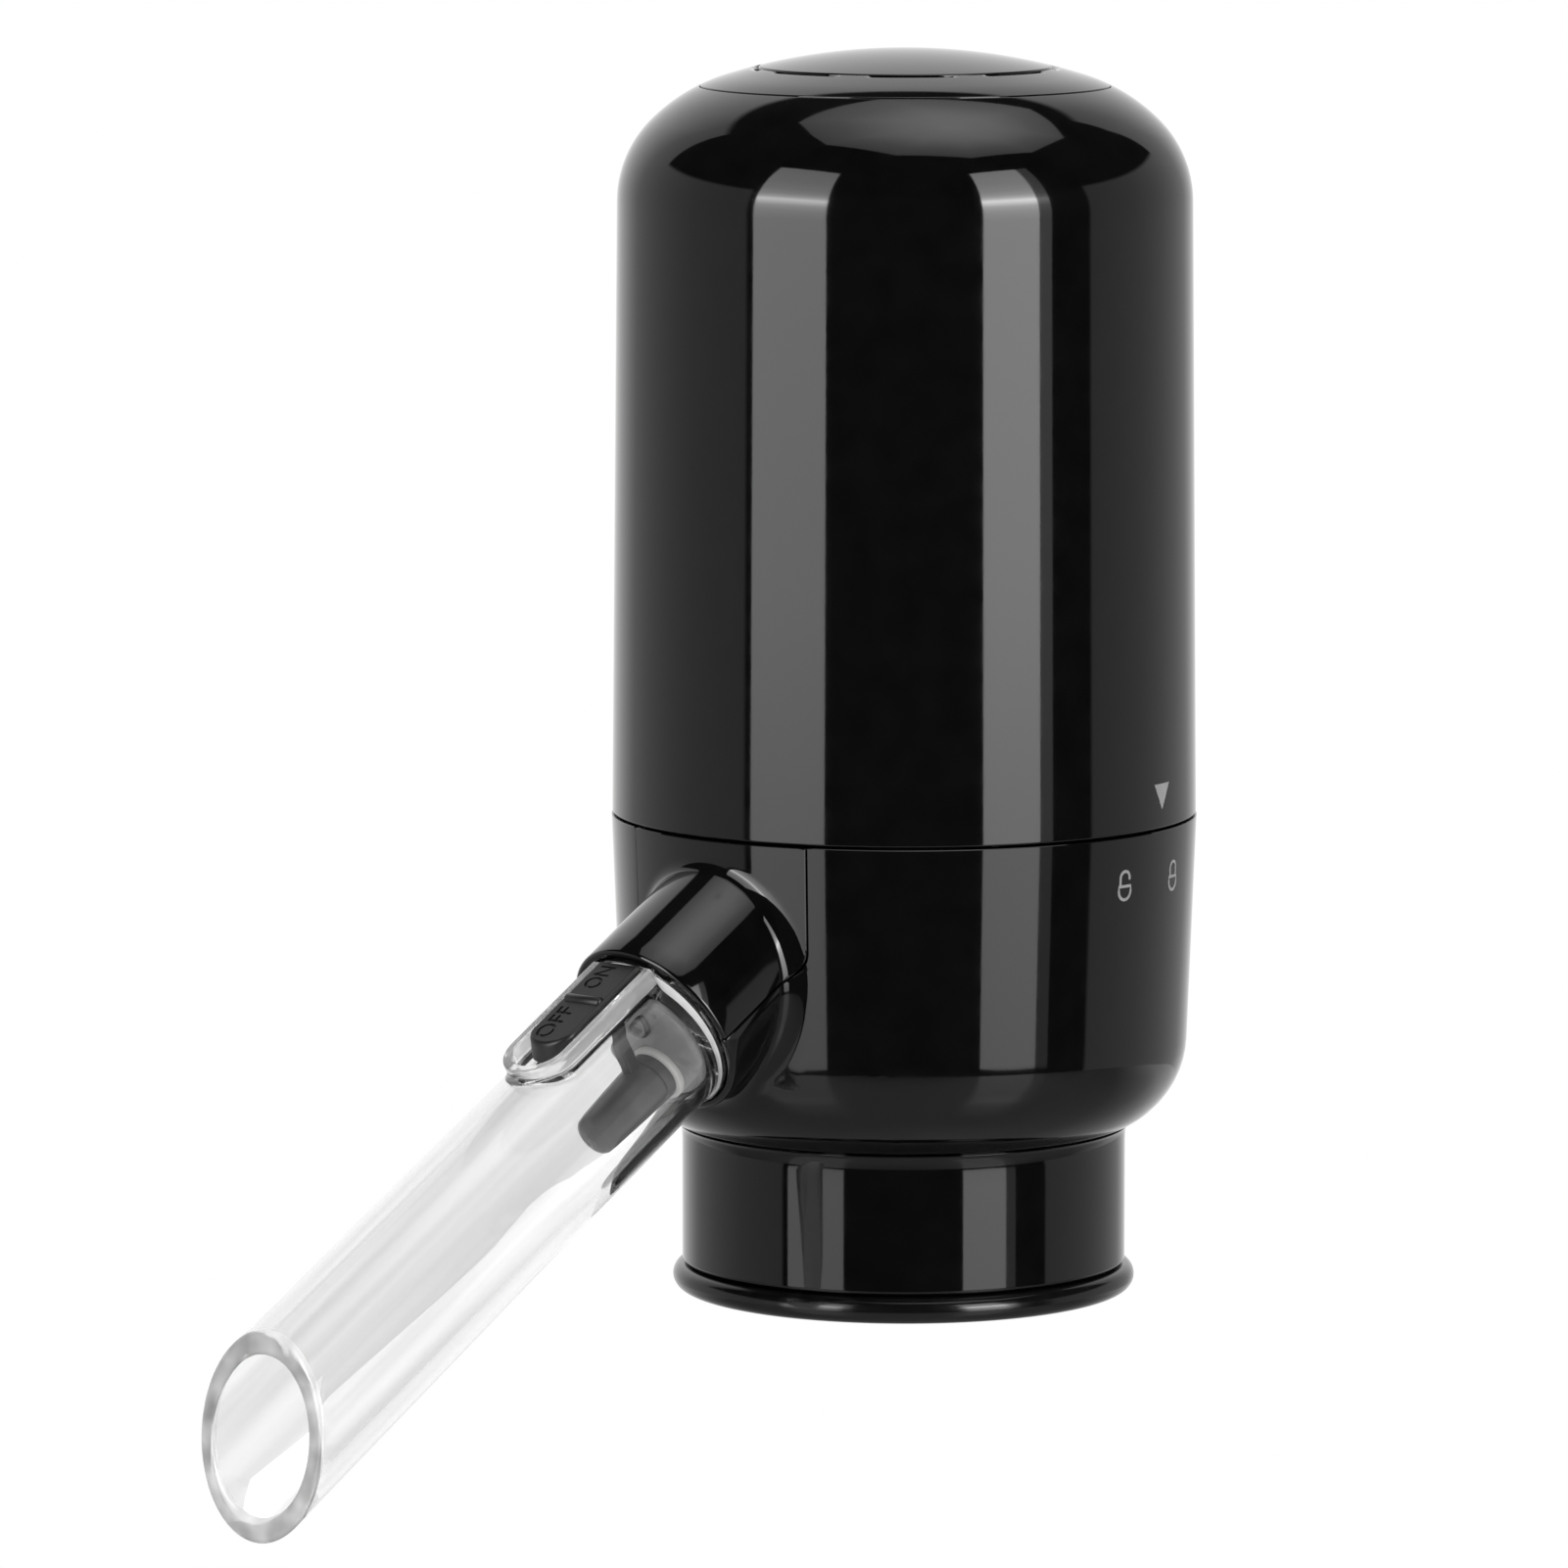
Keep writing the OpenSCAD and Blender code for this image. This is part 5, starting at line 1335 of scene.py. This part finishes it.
def room():
    """A dark studio with pale walls, higher at the back than at the sides, and white behind the part."""
    world = bpy.data.worlds.new("studio")
    bpy.context.scene.world = world
    world.use_nodes = True
    tree = world.node_tree
    walls = tree.nodes["Background"]
    where = wired(tree, "TexCoord", {}).outputs["Generated"]
    level = vector_maths(tree, "MULTIPLY", where, (1, 1, 0))["Vector"]
    compass = vector_maths(tree, "NORMALIZE", level)["Vector"]
    front = vector_maths(tree, "DOT_PRODUCT", compass, facing(6))["Value"]
    shade = ramp_of(tree, scaled(tree, front, (-1, 1), (0, 1)), greys(WALLS))
    wall_top = scaled(tree, front, (-0.66, -0.62), (0.73, 0.36))
    height = wired(tree, "SeparateXYZ", {"Vector": where}).outputs["Z"]
    below = maths(tree, "SUBTRACT", wall_top, height)
    plug(tree, walls, {"Color": shade, "Strength": scaled(tree, below, (0, 0.03), (0.03, 1))})
    white = wired(tree, "Background", {"Color": (1, 1, 1, 1), "Strength": 1.0}).outputs["Background"]
    inputs = {"Fac": seen_directly(tree), 1: walls.outputs["Background"], 2: white}
    chosen = wired(tree, "MixShader", inputs)
    plug(tree, tree.nodes["World Output"], {"Surface": chosen.outputs["Shader"]})


def softbox(name, corners, places, strength, stops):
    """A glowing panel that isn't seen directly. places give each corner's share of the brightness stops."""
    mesh = bpy.data.meshes.new(name)
    rim = len(corners) - 1
    mesh.from_pydata(corners, [], [(0, 1 + k, 1 + (k + 1) % rim) for k in range(rim)])
    layer = mesh.attributes.new("place", "FLOAT", "POINT")
    for value, place in zip(layer.data, places):
        value.value = place
    panel = bpy.data.objects.new(name, mesh)
    bpy.context.collection.objects.link(panel)
    tree, shader = new_material(name)
    tree.nodes.remove(shader)
    where = wired(tree, "Attribute", {})
    where.attribute_name = "place"
    shade = ramp_of(tree, where.outputs["Fac"], greys(stops))
    glow = wired(tree, "Emission", {"Color": shade, "Strength": strength})
    plug(tree, tree.nodes["Material Output"], {"Surface": glow.outputs["Emission"]})
    mesh.materials.append(LOOKS[name])
    panel.visible_camera = False
    panel.visible_transmission = False


def side_box(name, start, end, strength):
    """An upright softbox between two angles to the right of the camera, graded from its foot to its top."""
    first = facing(start) * BOX_DISTANCE
    last = facing(end) * BOX_DISTANCE
    low = Vector((0, 0, BOX_LOW))
    top = Vector((0, 0, BOX_TOP))
    middle = (first + last + low + top) / 2
    corners = [middle, first + low, last + low, last + top, first + top]
    softbox(name, corners, (0.5, 0, 0, 1, 1), strength, GLOW)


def top_box(name, right, front, height, radius, strength):
    """An eight-sided softbox overhead, graded from its middle to its rim."""
    middle = facing(90) * right + facing(0) * front + Vector((0, 0, height))
    rim = [middle + facing(turn) * radius for turn in np.linspace(22.5, 382.5, 8, endpoint=False)]
    softbox(name, [middle] + rim, [0] + [1] * 8, strength, TOP_GLOW)


def camera():
    data = bpy.data.cameras.new("photo_camera")
    data.sensor_fit = "HORIZONTAL"
    data.sensor_width = CAMERA_SENSOR
    data.lens = CAMERA_LENS
    data.clip_start = 0.01
    data.clip_end = 100
    view = bpy.data.objects.new("photo_camera", data)
    bpy.context.collection.objects.link(view)
    back = facing(0) * math.cos(CAMERA_ELEVATION) + Vector((0, 0, math.sin(CAMERA_ELEVATION)))
    view.location = (Vector(CAMERA_AIM) + back * CAMERA_DISTANCE) * MM
    view.rotation_euler = back.to_track_quat("Z", "Y").to_euler()
    bpy.context.scene.camera = view


floor()
room()
side_box("softbox_left", -62.5, -31.5, 11.6)
side_box("softbox_right", 30, 53.5, 16.5)
side_box("softbox_right_edge", 53.5, 59, 3.0)
top_box("softbox_top", 0.18, -0.06, 1.15, 0.63, 2.5)
camera()
bpy.context.scene.view_settings.view_transform = "Standard"
bpy.context.scene.cycles.max_bounces = 32
bpy.context.scene.cycles.glossy_bounces = 16
bpy.context.scene.cycles.transmission_bounces = 32
